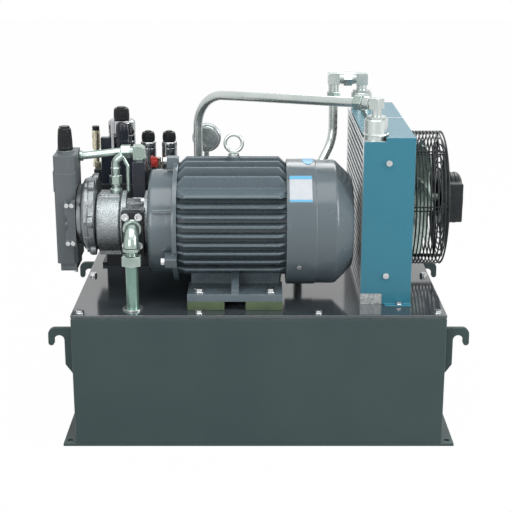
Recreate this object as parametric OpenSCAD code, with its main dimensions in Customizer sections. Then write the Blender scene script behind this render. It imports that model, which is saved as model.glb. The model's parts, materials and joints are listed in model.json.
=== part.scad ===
// Hydraulic power unit: oil tank, electric motor, pump, valve group and air-blast oil cooler.
// +Z is up, +X runs along the motor's shaft towards the cooler, and -Y is the front.
// The origin is the centre of the tank's base, on the floor.

/* [Tank] */
// Length of the tank, left to right
tank_l = 740; // [720:5:800]
// Depth of the tank, front to back
tank_d = 520; // [510:5:600]
// Height of the tank with its lid
tank_h = 280; // [240:5:360]
// Thickness of the tank's sheet
tank_wall = 4; // [3:0.5:6]
// Thickness of the lid
lid_t = 6; // [4:0.5:9]
// Thickness of the lid's gasket
gasket_t = 2; // [1:0.5:3]
// Width of the rim that the lid is bolted to
rim_w = 26; // [24:1:27]
// Thickness of the base plate
base_t = 6; // [4:1:10]
// Reach of the base plate past each end of the tank
base_out = 25; // [22:1:40]
// Diameter of the floor-bolt holes
base_hole_d = 12; // [9:0.5:14]

/* [Lifting hooks] */
// Thickness of a lifting hook
hook_t = 10; // [8:1:14]
// Reach of a hook from the end of the tank
hook_reach = 50; // [46:1:60]
// Width of a hook's gap
hook_gap = 20; // [16:1:22]
// Height of a hook's top above the floor
hook_top = 244; // [220:1:250]

/* [Motor] */
// Height of the shaft above the motor's feet
shaft_h = 132; // [130:1:140]
// Distance between the foot bolts, front to back
foot_a = 216; // [210:1:220]
// Distance between the foot bolts, along the shaft
foot_b = 141; // [130:1:146]
// Thickness of a foot
foot_t = 15; // [12:1:18]
// Height of the pads under the feet
pad_h = 18; // [12:1:24]
// Radius over the cooling fins
fin_r = 133; // [131:1:136]
// Radius of the barrel under the fins
barrel_r = 108; // [104:1:112]
// Thickness of a cooling fin
fin_t = 5; // [3:0.5:7]
// Length of the finned frame
frame_l = 216; // [210:1:226]
// Radius of the fan cowl
cowl_r = 128; // [124:1:130]
// Length of the fan cowl
cowl_l = 133; // [125:1:140]
// Radius of the motor's shaft
shaft_r = 19; // [16:0.5:21]

/* [Pump] */
// Radius of the pump's housing
pump_r = 60; // [56:1:64]
// Length of the pump's housing
pump_l = 52; // [48:1:60]
// Length of the pump's stepped flange
flange_l = 38; // [36:1:44]
// Length of the adapter between motor and pump
adapter_l = 56; // [54:1:62]
// Radius of the pump's shaft
pump_shaft_r = 11; // [9:0.5:13]
// Height of the regulator block
regulator_h = 238; // [225:1:245]
// Width of the regulator block, along the shaft
regulator_w = 42; // [38:1:46]
// Depth of the regulator block
regulator_d = 90; // [84:1:96]
// Outer radius of the suction tube
suction_r = 12.5; // [10:0.5:13]

/* [Valves] */
// Length of the valve manifold
manifold_l = 262; // [256:1:270]
// Depth of the valve manifold
manifold_d = 92; // [88:1:100]
// Radius of the relief valve
relief_r = 30; // [27:1:32]
// Radius of a cartridge valve
cartridge_r = 17.5; // [15:0.5:19]
// Radius of the pressure gauge
gauge_r = 32; // [28:0.5:36]

/* [Cooler] */
// Width of the cooler, along the shaft
cooler_w = 101; // [94:1:106]
// Length of the cooler, front to back
cooler_d = 432; // [420:1:444]
// Height of the cooler
cooler_h = 340; // [330:1:360]
// Thickness of the cooler's core
core_w = 46; // [40:1:50]
// Thickness of the shroud's sheet
shroud_t = 2; // [1.5:0.5:3]
// Radius of the fan
fan_r = 125; // [118:1:127]
// Depth of the fan guard
guard_l = 84; // [80:1:92]
// Radius of the fan's motor
fan_motor_r = 55; // [48:1:58]
// Radius of the cooler's oil tubes
tube_r = 10; // [8:0.5:11]

/* [Fits] */
// Radial clearance of a shaft in its bearing
run_gap = 0.05; // [0.02:0.01:0.09]
// Clearance between curved faces that sit together
seat_gap = 0.3; // [0.2:0.05:0.5]

/* [Hidden] */
$fn = 64;

// Colours of the finishes
tank_grey = [0.27, 0.31, 0.32];
motor_grey = [0.33, 0.38, 0.41];
cast_silver = [0.56, 0.58, 0.6];
zinc = [0.72, 0.77, 0.74];
chrome = [0.8, 0.82, 0.84];
valve_black = [0.1, 0.11, 0.13];
cooler_teal = [0.27, 0.52, 0.6];
aluminium = [0.72, 0.73, 0.74];
pad_green = [0.52, 0.57, 0.3];

// Heights of the tank
lid_z = tank_h - lid_t;
rim_z = lid_z - gasket_t;
floor_z = base_t + tank_wall;

// Motor: its frame starts at motor_x and its shaft lies on axis_y and axis_z
motor_x = -161;
axis_y = -tank_d / 2 + 155;
foot_z = tank_h + pad_h;
axis_z = foot_z + shaft_h;
frame_end = motor_x + frame_l;
cowl_x = frame_end + 1;
cowl_end = cowl_x + cowl_l;
cowl_t = 2.5;
cowl_cone = 34;
cowl_face_r = cowl_r - cowl_cone;
foot_mid = motor_x + 114;
foot_l = foot_b + 48;
foot_w = 87;
pad_d = 52;
foot_y = foot_a / 2 + 17;
ring_l = 10;
ring_r = fin_r - 11;
bracket_l = 49;
bracket_r = fin_r - 26;
bracket_x = motor_x - ring_l - bracket_l;
core_r = barrel_r - 14;
rotor_r = core_r - 32;
air_gap = 0.6;
core_x = motor_x + 50;
core_l = frame_l - 100;
bearing_r = 36;
bearing_l = 18;
bearing_x = bracket_x + 24;
shield_l = 14;
shield_rim = 36;
fan_x = frame_end + shield_l + 12;

// Pump line, which runs left from the motor's bracket
adapter_x = bracket_x - adapter_l;
adapter_r = 48;
adapter_wall = 8;
coupling_r = 34;
pump_x = adapter_x - pump_l;
flange_x = pump_x - flange_l;
flange_r = pump_r + 14;
regulator_x = flange_x - regulator_w;
regulator_z = axis_z - 93;
cavity_r = pump_r - 18;
pump_wall = 8;
shaft_split = adapter_x + adapter_l / 2;

// Suction port block on the front of the adapter, with its elbow and tube
port_l = 44;
port_h = 99;
port_t = 20;
port_y = axis_y - adapter_r - 17 - port_t;
port_x = adapter_x + 4;
port_z = axis_z - 58;
suction_x = port_x + port_l / 2;
elbow_bend = 30;
elbow_r = 15;
elbow_z = axis_z + 7;
suction_y = port_y - elbow_bend;
suction_nut_z = elbow_z - elbow_bend - 36;
suction_wall = 2;
strainer_r = 32;
strainer_h = 90;
strainer_z = floor_z + 22;

// Valve group behind the pump
manifold_x = flange_x + 5;
manifold_y = axis_y + 173;
manifold_end = manifold_x + manifold_l;
manifold_z = axis_z + 38;
manifold_h = 108;
stand_t = 8;
upper_z = manifold_z + 26;
valve_y = manifold_y + 60;
relief_x = manifold_x + 61;
upper_l = 90;
relief_z = upper_z + 36;
relief_h = 70;
cartridge_x = manifold_x + 118.5;
cartridge_pitch = 46;
cartridge_h = 58;
cartridge_z = manifold_z + 26;
needle_x = manifold_x + 3.5;
needle_h = 41;
gauge_x = manifold_end - 16.5;
gauge_y = manifold_y + 80;
gauge_z = manifold_z + 84.5;
gauge_l = 26;

// Cooler, which stands on the lid to the right of the cowl
cooler_x = cowl_end + 15;
cooler_end = cooler_x + cooler_w;
cooler_mid = tank_d / 2 - 238;
cooler_front = cooler_mid - cooler_d / 2;
cooler_back = cooler_mid + cooler_d / 2;
cooler_top = tank_h + cooler_h;
header_w = 30;
notch_x = cooler_x + core_w - 3;
port_cx = cooler_x + core_w / 2 + 2;
port_front = cooler_front + 29;
port_back = cooler_back - 58;
fan_z = tank_h + 170;
guard_r = fan_r + 18;
guard_wire = 2;
guard_end = cooler_end + guard_l;
boss_r = 23;
boss_h = 32;
fitting_z = cooler_top + boss_h;
arm_z = fitting_z + 30;
arm_r = 13;
arm_l = 32;
union_l = 62;
union_nut_l = 20;
socket_l = 14;
return_x = 88;
return_y = axis_y + 195;
outlet_x = manifold_end - 33.5;
outlet_y = manifold_y + 50;
outlet_z = arm_z - 25;
tube_bend = 76;
bend_steps = 8;
tube_sides = 20;

// Tubes from fitting to fitting
outlet_top = [outlet_x, outlet_y, outlet_z];
front_corner = [port_cx, port_front, arm_z];
inlet_dir = (outlet_top - front_corner) / norm(outlet_top - front_corner);
inlet_end = front_corner + inlet_dir * arm_l;
inlet_path = [[outlet_x, outlet_y, manifold_z + 24], outlet_top,
    inlet_end - inlet_dir * (socket_l - 2)];
drop_x = port_cx - union_l;
return_path = [[drop_x, port_back, arm_z - arm_l + socket_l - 2], [drop_x, port_back, axis_z + 115],
    [return_x, return_y, axis_z - 20], [return_x, return_y, floor_z + 60]];
pilot_y = axis_y + 32;
pilot_z = regulator_z + regulator_h - 15;
pilot_r = 8;
pilot_top = pilot_z + 9;
pressure_x = adapter_x + 20;
pressure_l = 26;
pressure_h = 72;
pressure_z = axis_z + adapter_r + 2;

// Sizes of the fasteners
m10_head = 17;
m8_head = 13;

function unit(v) = v / norm(v);
// Frame whose Z axis lies along direction d, at point o
function aim(o, d) = let(
        z = unit(d),
        x = unit(cross(abs(z[2]) < 0.9 ? [0, 0, 1] : [1, 0, 0], z)),
        y = cross(z, x))
    [[x[0], y[0], z[0], o[0]], [x[1], y[1], z[1], o[1]], [x[2], y[2], z[2], o[2]], [0, 0, 0, 1]];
// Angle that a path turns through at point i
function turn(p, i) = acos(unit(p[i] - p[i - 1]) * unit(p[i + 1] - p[i]));
// Distance from corner i at which its bend starts
function setback(p, i, bend) = i == 0 || i == len(p) - 1 ? 0 : bend * tan(turn(p, i) / 2);

// Cylinder from a to b
module rod(a, b, r) {
    multmatrix(aim(a, b - a)) cylinder(h = norm(b - a), r = r);
}

// Points along the bend at corner i of a path
function bend_points(p, i, bend) = let(
        u = unit(p[i] - p[i - 1]),
        w = unit(p[i + 1] - p[i]),
        angle = turn(p, i),
        middle = p[i] + unit(w - u) * bend / cos(angle / 2),
        x = unit(p[i] - u * setback(p, i, bend) - middle))
    [for (k = [0 : bend_steps]) let (a = angle * k / bend_steps)
        middle + bend * (x * cos(a) + u * sin(a))];
// A path with its corners rounded
function rounded(p, bend) = concat([p[0]],
    [for (i = [1 : len(p) - 2]) each bend_points(p, i, bend)], [p[len(p) - 1]]);
// Direction of a path at each of its points
function tangents(q) = [for (i = [0 : len(q) - 1])
    unit(q[min(i + 1, len(q) - 1)] - q[max(i - 1, 0)])];
// Sideways directions along a path, each turned as little as possible from the one before
function sideways(t, n, i = 0) = i == len(t) ? [] :
    let (v = unit(n - t[i] * (n * t[i]))) concat([v], sideways(t, v, i + 1));

// Tube along a path, with a bend of constant radius at each corner
module bent_tube(p, r, bend) {
    q = rounded(p, bend);
    t = tangents(q);
    n = sideways(t, abs(t[0][2]) > 0.9 ? [1, 0, 0] : [0, 0, 1]);
    m = tube_sides;
    last = len(q) - 1;
    polyhedron(
        [for (i = [0 : last]) for (k = [0 : m - 1]) let (a = 360 * k / m)
            q[i] + r * (n[i] * cos(a) + cross(t[i], n[i]) * sin(a))],
        concat([[for (k = [0 : m - 1]) k]], [[for (k = [m - 1 : -1 : 0]) last * m + k]],
            [for (i = [0 : last - 1]) for (k = [0 : m - 1]) let (j = (k + 1) % m)
                [i * m + k, (i + 1) * m + k, (i + 1) * m + j, i * m + j]]));
}

// Box from its lowest to its highest corner
module block(lo, hi) {
    translate(lo) cube(hi - lo);
}

// Cylinder along +X from x, around the axis through y and z
module x_rod(x, y, z, r, l) {
    translate([x, y, z]) rotate([0, 90, 0]) cylinder(h = l, r = r);
}

// Cylinder along +Y from y
module y_rod(x, y, z, r, l) {
    translate([x, y + l, z]) rotate([90, 0, 0]) cylinder(h = l, r = r);
}

// Cylinder along +Z from z
module z_rod(x, y, z, r, l) {
    translate([x, y, z]) cylinder(h = l, r = r);
}

// Solid of revolution around the X axis through y and z, from points of radius and x
module x_turn(y, z, points) {
    translate([0, y, z]) rotate([0, 90, 0]) rotate_extrude() polygon(points);
}

// Section in Y and Z, extruded along +X from x
module x_extrude(x, l) {
    translate([x, 0, 0]) rotate([90, 0, 90]) linear_extrude(l) children();
}

// Hexagon prism along Z, across its flats
module hexagon(flats, h) {
    cylinder(h = h, d = flats / cos(30), $fn = 6);
}

// Hexagon-head bolt with its washer, standing up from the origin, with a shank below
module hex_bolt(flats, shank_r, shank_l) {
    head = flats * 0.4;
    cylinder(h = 2, r = flats * 0.62);
    translate([0, 0, 2]) hexagon(flats, head);
    if (shank_l > 0) translate([0, 0, -shank_l]) cylinder(h = shank_l, r = shank_r);
}

// Socket-head screw standing up from the origin, with a shank below
module socket_screw(head, shank_r, shank_l) {
    difference() {
        cylinder(h = head * 0.6, d = head);
        translate([0, 0, head * 0.25]) hexagon(head * 0.5, head);
    }
    if (shank_l > 0) translate([0, 0, -shank_l]) cylinder(h = shank_l, r = shank_r);
}

// Places along one side of the lid
function spread(from, to, count) = [for (i = [0 : count - 1]) from + (to - from) * i / (count - 1)];

lid_bolt_inset = 13;
lid_bolt_x = tank_l / 2 - 18;
lid_bolt_y = tank_d / 2 - lid_bolt_inset;
lid_bolt_places = concat(
    [for (s = [-1, 1]) for (x = spread(-lid_bolt_x, lid_bolt_x, 4)) [x, s * lid_bolt_y]],
    [for (s = [-1, 1]) for (y = spread(-lid_bolt_y, lid_bolt_y, 3)) if (abs(y) < lid_bolt_y - 1)
        [s * (tank_l / 2 - lid_bolt_inset), y]]);
m8_r = 4;

base_hole_x = tank_l / 2 + base_out / 2;
base_hole_y = tank_d / 2 - 17;

module base_plate() {
    color(tank_grey) difference() {
        block([-tank_l / 2 - base_out, -tank_d / 2, 0], [tank_l / 2 + base_out, tank_d / 2, base_t]);
        for (x = [-base_hole_x, base_hole_x]) for (y = [-base_hole_y, base_hole_y])
            z_rod(x, y, -1, base_hole_d / 2, base_t + 2);
    }
}

drain_z = floor_z + 28;
drain_x = -tank_l / 2 + 90;
drain_r = 13;
level_x = 120;
level_h = 127;
level_z = base_t + 60;
level_hole_r = 6;

module tank_body() {
    color(tank_grey) difference() {
        block([-tank_l / 2, -tank_d / 2, base_t], [tank_l / 2, tank_d / 2, rim_z]);
        block([-tank_l / 2 + tank_wall, -tank_d / 2 + tank_wall, floor_z],
            [tank_l / 2 - tank_wall, tank_d / 2 - tank_wall, rim_z - tank_wall]);
        block([-tank_l / 2 + rim_w, -tank_d / 2 + rim_w, floor_z],
            [tank_l / 2 - rim_w, tank_d / 2 - rim_w, rim_z + 1]);
        for (p = lid_bolt_places) z_rod(p[0], p[1], rim_z - tank_wall - 1, m8_r + run_gap, tank_wall + 2);
        y_rod(drain_x, tank_d / 2 - tank_wall - 1, drain_z, drain_r + run_gap, tank_wall + 2);
        for (z = [0, level_h])
            y_rod(level_x, tank_d / 2 - tank_wall - 1, level_z + z, level_hole_r + run_gap, tank_wall + 2);
    }
}

module lid_gasket() {
    color([0.12, 0.12, 0.12]) difference() {
        block([-tank_l / 2 + 1, -tank_d / 2 + 1, rim_z], [tank_l / 2 - 1, tank_d / 2 - 1, lid_z]);
        block([-tank_l / 2 + rim_w, -tank_d / 2 + rim_w, rim_z - 1],
            [tank_l / 2 - rim_w, tank_d / 2 - rim_w, lid_z + 1]);
        for (p = lid_bolt_places) z_rod(p[0], p[1], rim_z - 1, m8_r + seat_gap, gasket_t + 2);
    }
}

filler_x = 20;
filler_y = tank_d / 2 - 70;
filler_r = 26;
grommet_r = 8;
foot_bolt_r = 5;
foot_bolt_places = [for (x = [-foot_b / 2, foot_b / 2]) for (y = [-foot_a / 2, foot_a / 2])
    [foot_mid + x, axis_y + y]];

module tank_lid() {
    color(tank_grey) difference() {
        block([-tank_l / 2, -tank_d / 2, lid_z], [tank_l / 2, tank_d / 2, tank_h]);
        for (p = lid_bolt_places) z_rod(p[0], p[1], lid_z - 1, m8_r + seat_gap, lid_t + 2);
        for (p = foot_bolt_places) z_rod(p[0], p[1], lid_z - 1, foot_bolt_r + seat_gap, lid_t + 2);
        z_rod(suction_x, suction_y, lid_z - 1, suction_r + grommet_r / 2, lid_t + 2);
        z_rod(return_x, return_y, lid_z - 1, tube_r + grommet_r / 2, lid_t + 2);
        z_rod(filler_x, filler_y, lid_z - 1, filler_r, lid_t + 2);
    }
}

module lid_bolts() {
    color(chrome) for (p = lid_bolt_places)
        translate([p[0], p[1], tank_h]) hex_bolt(m8_head, m8_r, lid_t + gasket_t + tank_wall + 3);
}

hook_y = tank_d / 2 - 33;
hook_tip = 12;
hook_neck = hook_reach - hook_gap - hook_tip;
hook_z = hook_top - 37;
hook_root = hook_z - 66;

// Outline of a hook with a rounded tip, out from the end of the tank
module hook_outline() {
    corner = 14;
    tip_r = hook_tip / 2;
    tip_z = hook_z + tip_r;
    gap_top = hook_top - 16 - hook_gap / 2;
    difference() {
        union() {
            translate([0, tip_z]) square([hook_reach, hook_top - tip_z - corner]);
            translate([0, tip_z]) square([hook_reach - corner, hook_top - tip_z]);
            translate([hook_reach - corner, hook_top - corner]) circle(r = corner);
            translate([hook_reach - tip_r, tip_z]) circle(r = tip_r);
            polygon([[0, hook_root], [hook_neck, hook_root + 25], [hook_neck, tip_z + 1], [0, tip_z + 1]]);
        }
        translate([hook_neck, hook_root]) square([hook_gap, gap_top - hook_root]);
        translate([hook_neck + hook_gap / 2, gap_top]) circle(r = hook_gap / 2);
    }
}

module lifting_hooks() {
    color(tank_grey) for (s = [0, 1]) mirror([s, 0, 0]) for (y = [-hook_y, hook_y])
        translate([tank_l / 2, y + hook_t / 2, 0]) rotate([90, 0, 0]) linear_extrude(hook_t) hook_outline();
}

module drain_plug() {
    color(zinc) {
        y_rod(drain_x, tank_d / 2 - tank_wall - 2, drain_z, drain_r, tank_wall + 2);
        translate([drain_x, tank_d / 2, drain_z]) rotate([-90, 0, 0]) {
            cylinder(h = 3, r = drain_r + 5);
            translate([0, 0, 3]) hexagon(m10_head + 5, 9);
        }
    }
}

module level_gauge() {
    window_w = 30;
    color([0.75, 0.8, 0.75]) {
        difference() {
            block([level_x - window_w / 2, tank_d / 2, level_z - 20],
                [level_x + window_w / 2, tank_d / 2 + 14, level_z + level_h + 20]);
            block([level_x - 9, tank_d / 2 + 6, level_z + 14], [level_x + 9, tank_d / 2 + 15, level_z + level_h - 14]);
        }
        for (z = [0, level_h]) {
            y_rod(level_x, tank_d / 2 - tank_wall - 4, level_z + z, level_hole_r, tank_wall + 4);
            translate([level_x, tank_d / 2 + 14, level_z + z]) rotate([-90, 0, 0]) hexagon(m10_head, 5);
        }
    }
}

module filler_neck() {
    color(zinc) difference() {
        union() {
            z_rod(filler_x, filler_y, tank_h, filler_r + 12, 4);
            z_rod(filler_x, filler_y, tank_h - 60, filler_r - seat_gap, 76);
        }
        z_rod(filler_x, filler_y, tank_h - 58, filler_r - 3, 80);
    }
}

module filler_cap() {
    cap_r = filler_r + 11;
    color([0.15, 0.15, 0.16]) difference() {
        union() {
            z_rod(filler_x, filler_y, tank_h + 4 + seat_gap, cap_r, 46);
            for (a = [0 : 30 : 330]) translate([filler_x, filler_y, tank_h + 12]) rotate(a)
                translate([cap_r, 0, 0]) cylinder(h = 30, r = 2);
        }
        z_rod(filler_x, filler_y, tank_h, filler_r + seat_gap, 16 + 2 * seat_gap);
    }
}

module pipe_grommets() {
    color([0.6, 0.64, 0.6]) {
        grommet(suction_x, suction_y, suction_r);
        grommet(return_x, return_y, tube_r);
    }
}

// Ring that seals a tube of radius r in the lid
module grommet(x, y, r) {
    difference() {
        union() {
            z_rod(x, y, lid_z, r + grommet_r / 2 - seat_gap, lid_t);
            z_rod(x, y, tank_h, r + grommet_r, 3);
        }
        z_rod(x, y, lid_z - 1, r + seat_gap, lid_t + 5);
    }
}

module suction_strainer() {
    color([0.7, 0.7, 0.66]) difference() {
        union() {
            z_rod(suction_x, suction_y, strainer_z, strainer_r, 6);
            z_rod(suction_x, suction_y, strainer_z + 6, strainer_r - 3, strainer_h - 12);
            z_rod(suction_x, suction_y, strainer_z + strainer_h - 6, strainer_r, 6);
        }
        z_rod(suction_x, suction_y, strainer_z + 8, strainer_r - 6, strainer_h - 20);
        z_rod(suction_x, suction_y, strainer_z + strainer_h - 13, suction_r + run_gap, 14);
    }
}

module suction_tube() {
    color(zinc) difference() {
        z_rod(suction_x, suction_y, strainer_z + strainer_h - 12, suction_r,
            suction_nut_z - strainer_z - strainer_h + 12 + 20);
        z_rod(suction_x, suction_y, strainer_z, suction_r - suction_wall, suction_nut_z);
    }
}

// Elbow that turns down from the port block, with the collar above the union nut
module suction_elbow() {
    drop = elbow_z - elbow_bend - suction_nut_z - 20;
    color(zinc) difference() {
        union() {
            translate([suction_x, port_y, elbow_z - elbow_bend]) rotate([0, -90, 0])
                rotate_extrude(angle = -90) translate([elbow_bend, 0]) circle(r = elbow_r);
            z_rod(suction_x, suction_y, elbow_z - elbow_bend - drop, elbow_r - 3, drop);
            z_rod(suction_x, suction_y, elbow_z - elbow_bend - 6, elbow_r + 3, 6);
            y_rod(suction_x, port_y - 4, elbow_z, elbow_r + 4, 4);
        }
        z_rod(suction_x, suction_y, suction_nut_z, suction_r - suction_wall, 30);
    }
}

module suction_port_block() {
    color(valve_black) difference() {
        block([port_x, port_y, port_z], [port_x + port_l, port_y + port_t, port_z + port_h]);
        y_rod(suction_x, port_y - 1, elbow_z, 10, port_t + 2);
        for (p = port_screw_places) y_rod(p[0], port_y - 1, p[1], m8_r + seat_gap, port_t + 2);
    }
}

port_screw_places = [for (x = [-13, 13]) for (z = [-29, 29]) [suction_x + x, elbow_z - 4 + z]];

module nut(o, d, flats, h, bore) {
    multmatrix(aim(o, d)) difference() {
        hexagon(flats, h);
        translate([0, 0, -1]) cylinder(h = h + 2, r = bore);
    }
}

// Union nuts that clamp the tubes in their fittings
module union_nuts() {
    flats = 2 * tube_r + 8;
    color(zinc) {
        nut([suction_x, suction_y, suction_nut_z], [0, 0, 1], 2 * suction_r + 12, union_nut_l,
            suction_r + seat_gap);
        nut([outlet_x, outlet_y, manifold_z + 20], [0, 0, 1], flats, union_nut_l, tube_r + seat_gap);
        nut(inlet_end - inlet_dir * 3, inlet_dir, flats, union_nut_l, tube_r + seat_gap);
        nut([drop_x, port_back, arm_z - arm_l + 3], [0, 0, -1], flats, union_nut_l, tube_r + seat_gap);
    }
}

module mounting_pads() {
    inner = 21;
    color(pad_green) difference() {
        for (x = [0, 1]) for (y = [0, 1])
            translate([foot_mid, axis_y, tank_h]) mirror([x, 0, 0]) mirror([0, y, 0])
                translate([inner, foot_y - pad_d, 0]) cube([foot_l / 2 - inner, pad_d, pad_h]);
        for (p = foot_bolt_places) z_rod(p[0], p[1], tank_h - 1, foot_bolt_r + seat_gap, pad_h + 2);
    }
}

module foot_bolts() {
    color(chrome) for (p = foot_bolt_places) translate([p[0], p[1], foot_z + foot_t]) {
        hex_bolt(m10_head, foot_bolt_r, foot_t + pad_h + lid_t + 12);
        translate([0, 0, -foot_t - pad_h - lid_t - 9]) nut([0, 0, 0], [0, 0, 1], m10_head, 8,
            foot_bolt_r + run_gap);
    }
}

top_pitch = 24.5;
side_pitch = 18.2;
side_count = 8;
side_top = 58;
corner_y = 3 * top_pitch;
corner_z = side_top + side_pitch;
corner_tip = sqrt(pow(fin_r, 2) - pow(corner_z, 2));

// Section of the finned frame around the shaft, in Y and Z
module frame_section() {
    circle(r = barrel_r);
    for (i = [-3 : 3]) translate([i * top_pitch - fin_t / 2, 0])
        square([fin_t, sqrt(pow(fin_r, 2) - pow(i * top_pitch, 2))]);
    for (s = [0, 1]) mirror([s, 0]) {
        for (i = [0 : side_count - 1]) let (z = side_top - i * side_pitch)
            translate([0, z - fin_t / 2]) square([sqrt(pow(fin_r, 2) - pow(z, 2)), fin_t]);
        polygon([[corner_y - 3, corner_z - fin_t], [corner_tip, corner_z - fin_t / 2],
            [corner_tip, corner_z + fin_t / 2], [corner_y + fin_t / 2, corner_z + 11],
            [corner_y - 3, corner_z + 11]]);
    }
}

module motor_frame() {
    cut = 15;
    low_r = ring_r - 3;
    color(motor_grey) difference() {
        union() {
            intersection() {
                translate([0, axis_y, axis_z]) x_extrude(motor_x, frame_l) frame_section();
                x_turn(axis_y, axis_z, [[0, motor_x], [low_r, motor_x], [fin_r, motor_x + cut],
                    [fin_r, frame_end - cut], [low_r, frame_end], [0, frame_end]]);
            }
            z_rod(eye_x, axis_y, axis_z + barrel_r - 2, 13, fin_r - barrel_r + 5);
            block([box_x + 10, axis_y + barrel_r - 8, axis_z - 42], [frame_end - 18, box_y + 1, axis_z + 22]);
            for (s = [-1, 1]) foot(s);
        }
        x_rod(motor_x - 1, axis_y, axis_z, core_r, frame_l + 2);
        for (p = foot_bolt_places) z_rod(p[0], p[1], foot_z - 1, foot_bolt_r + seat_gap, foot_t + 2);
        z_rod(eye_x, axis_y, axis_z + barrel_r, 5 + run_gap, 40);
    }
}

// One foot with its wall and gusset, at the front (-1) or the back (1)
module foot(s) {
    wall_y = foot_y - foot_w;
    rib = 14;
    translate([foot_mid, axis_y, 0]) mirror([0, s < 0 ? 1 : 0, 0]) {
        block([-foot_l / 2, wall_y, foot_z], [foot_l / 2, foot_y, foot_z + foot_t]);
        block([-foot_l / 2 + 5, wall_y, foot_z + foot_t], [foot_l / 2 - 5, wall_y + 12, foot_z + 62]);
        translate([-rib / 2, 0, 0]) x_extrude(0, rib) polygon([[wall_y + 12, foot_z + foot_t],
            [foot_y - 3, foot_z + foot_t], [foot_y - 3, foot_z + foot_t + 8], [wall_y + 12, foot_z + 60]]);
    }
}

lug_angles = [90, 204, 336];
lug_r = ring_r + 5;
lug_l = 14;

// Round casting that closes the drive end, with a ledge on its front, the flange ring and lugs
module drive_end_bracket() {
    r = bracket_r;
    color(motor_grey) difference() {
        union() {
            x_turn(axis_y, axis_z, [[0, bracket_x], [r - 9, bracket_x], [r - 5, bracket_x + 1],
                [r - 2, bracket_x + 3], [r - 0.5, bracket_x + 6], [r, bracket_x + 10],
                [r, bracket_x + bracket_l + 1], [0, bracket_x + bracket_l + 1]]);
            block([bracket_x + 12, axis_y - r + 4, axis_z + 42], [motor_x - ring_l, axis_y, axis_z + 46]);
            x_rod(motor_x - ring_l, axis_y, axis_z, ring_r, ring_l);
            for (a = lug_angles) translate([motor_x - ring_l - lug_l, axis_y + lug_r * cos(a),
                axis_z + lug_r * sin(a)])
                rotate([a, 0, 0]) translate([0, -16, -11]) cube([ring_l + lug_l, 24, 22]);
        }
        x_rod(bracket_x - 1, axis_y, axis_z, shaft_r + 3, bracket_l + ring_l + 2);
        x_rod(bearing_x, axis_y, axis_z, bearing_r + run_gap, bearing_l);
        x_rod(bearing_x + bearing_l, axis_y, axis_z, core_r - 8, 60);
    }
}

module rear_end_shield() {
    shield_r = cowl_r - cowl_t - seat_gap;
    color(motor_grey) difference() {
        union() {
            x_rod(frame_end, axis_y, axis_z, shield_r, shield_l);
            difference() {
                x_rod(frame_end, axis_y, axis_z, shield_r, shield_rim);
                x_rod(frame_end - 1, axis_y, axis_z, shield_r - 9, shield_rim + 2);
            }
            x_rod(frame_end - 16, axis_y, axis_z, bearing_r + 12, 16);
        }
        x_rod(frame_end - 17, axis_y, axis_z, shaft_r + 3, shield_l + 18);
        x_rod(frame_end - 17, axis_y, axis_z, bearing_r + run_gap, bearing_l + 1);
        for (a = cowl_screw_angles) cowl_screw(a, cowl_r + 4, 3 + run_gap, 20);
    }
}

cowl_screw_angles = [50, 210, 330];

// Radial cylinder that ends at radius r, at one of the cowl's screws
module cowl_screw(a, r, radius, l) {
    translate([cowl_x + 24, axis_y, axis_z]) rotate([a - 90, 0, 0]) translate([0, 0, r - l])
        cylinder(h = l, r = radius);
}

module stator_core() {
    color([0.5, 0.38, 0.24]) difference() {
        union() {
            x_rod(core_x, axis_y, axis_z, core_r - run_gap, core_l);
            x_rod(core_x - 22, axis_y, axis_z, core_r - 8, core_l + 44);
        }
        x_rod(core_x - 23, axis_y, axis_z, rotor_r + air_gap, core_l + 46);
    }
}

module rotor_shaft() {
    color([0.6, 0.6, 0.62]) {
        x_rod(shaft_split, axis_y, axis_z, shaft_r - 4, bearing_x - shaft_split);
        x_rod(bearing_x, axis_y, axis_z, shaft_r, frame_end + 4 - bearing_x);
        x_rod(frame_end + 4, axis_y, axis_z, shaft_r - 3, fan_x + 26 - frame_end - 4);
        x_rod(core_x, axis_y, axis_z, rotor_r, core_l);
    }
}

module motor_bearings() {
    color(chrome) for (x = [bearing_x, frame_end - 16]) difference() {
        x_rod(x, axis_y, axis_z, bearing_r, bearing_l - 0.5);
        x_rod(x - 1, axis_y, axis_z, shaft_r + run_gap, bearing_l + 2);
    }
}

module motor_fan() {
    blade_r = cowl_r - 24;
    color([0.12, 0.12, 0.13]) difference() {
        union() {
            x_rod(fan_x, axis_y, axis_z, blade_r, 3);
            x_rod(fan_x, axis_y, axis_z, shaft_r + 9, 24);
            for (a = [0 : 45 : 315]) translate([fan_x, axis_y, axis_z]) rotate([a, 0, 0])
                translate([0, shaft_r, -1.5]) cube([34, blade_r - shaft_r - 2, 3]);
        }
        x_rod(fan_x - 1, axis_y, axis_z, shaft_r - 3 + run_gap, 40);
    }
}

// Sheet cowl over the motor's fan, with a grille in its end
module fan_cowl() {
    straight = cowl_end - cowl_cone;
    color(motor_grey) difference() {
        x_turn(axis_y, axis_z, [[0, cowl_end], [cowl_face_r, cowl_end], [cowl_r, straight],
            [cowl_r, cowl_x], [cowl_r - cowl_t, cowl_x], [cowl_r - cowl_t, straight - 1],
            [cowl_face_r - 1, cowl_end - cowl_t], [0, cowl_end - cowl_t]]);
        for (r = [20 : 14 : cowl_face_r - 12]) grille_ring(r);
        for (a = cowl_screw_angles) cowl_screw(a, cowl_r + 4, 3 + seat_gap, 10);
    }
}

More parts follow.
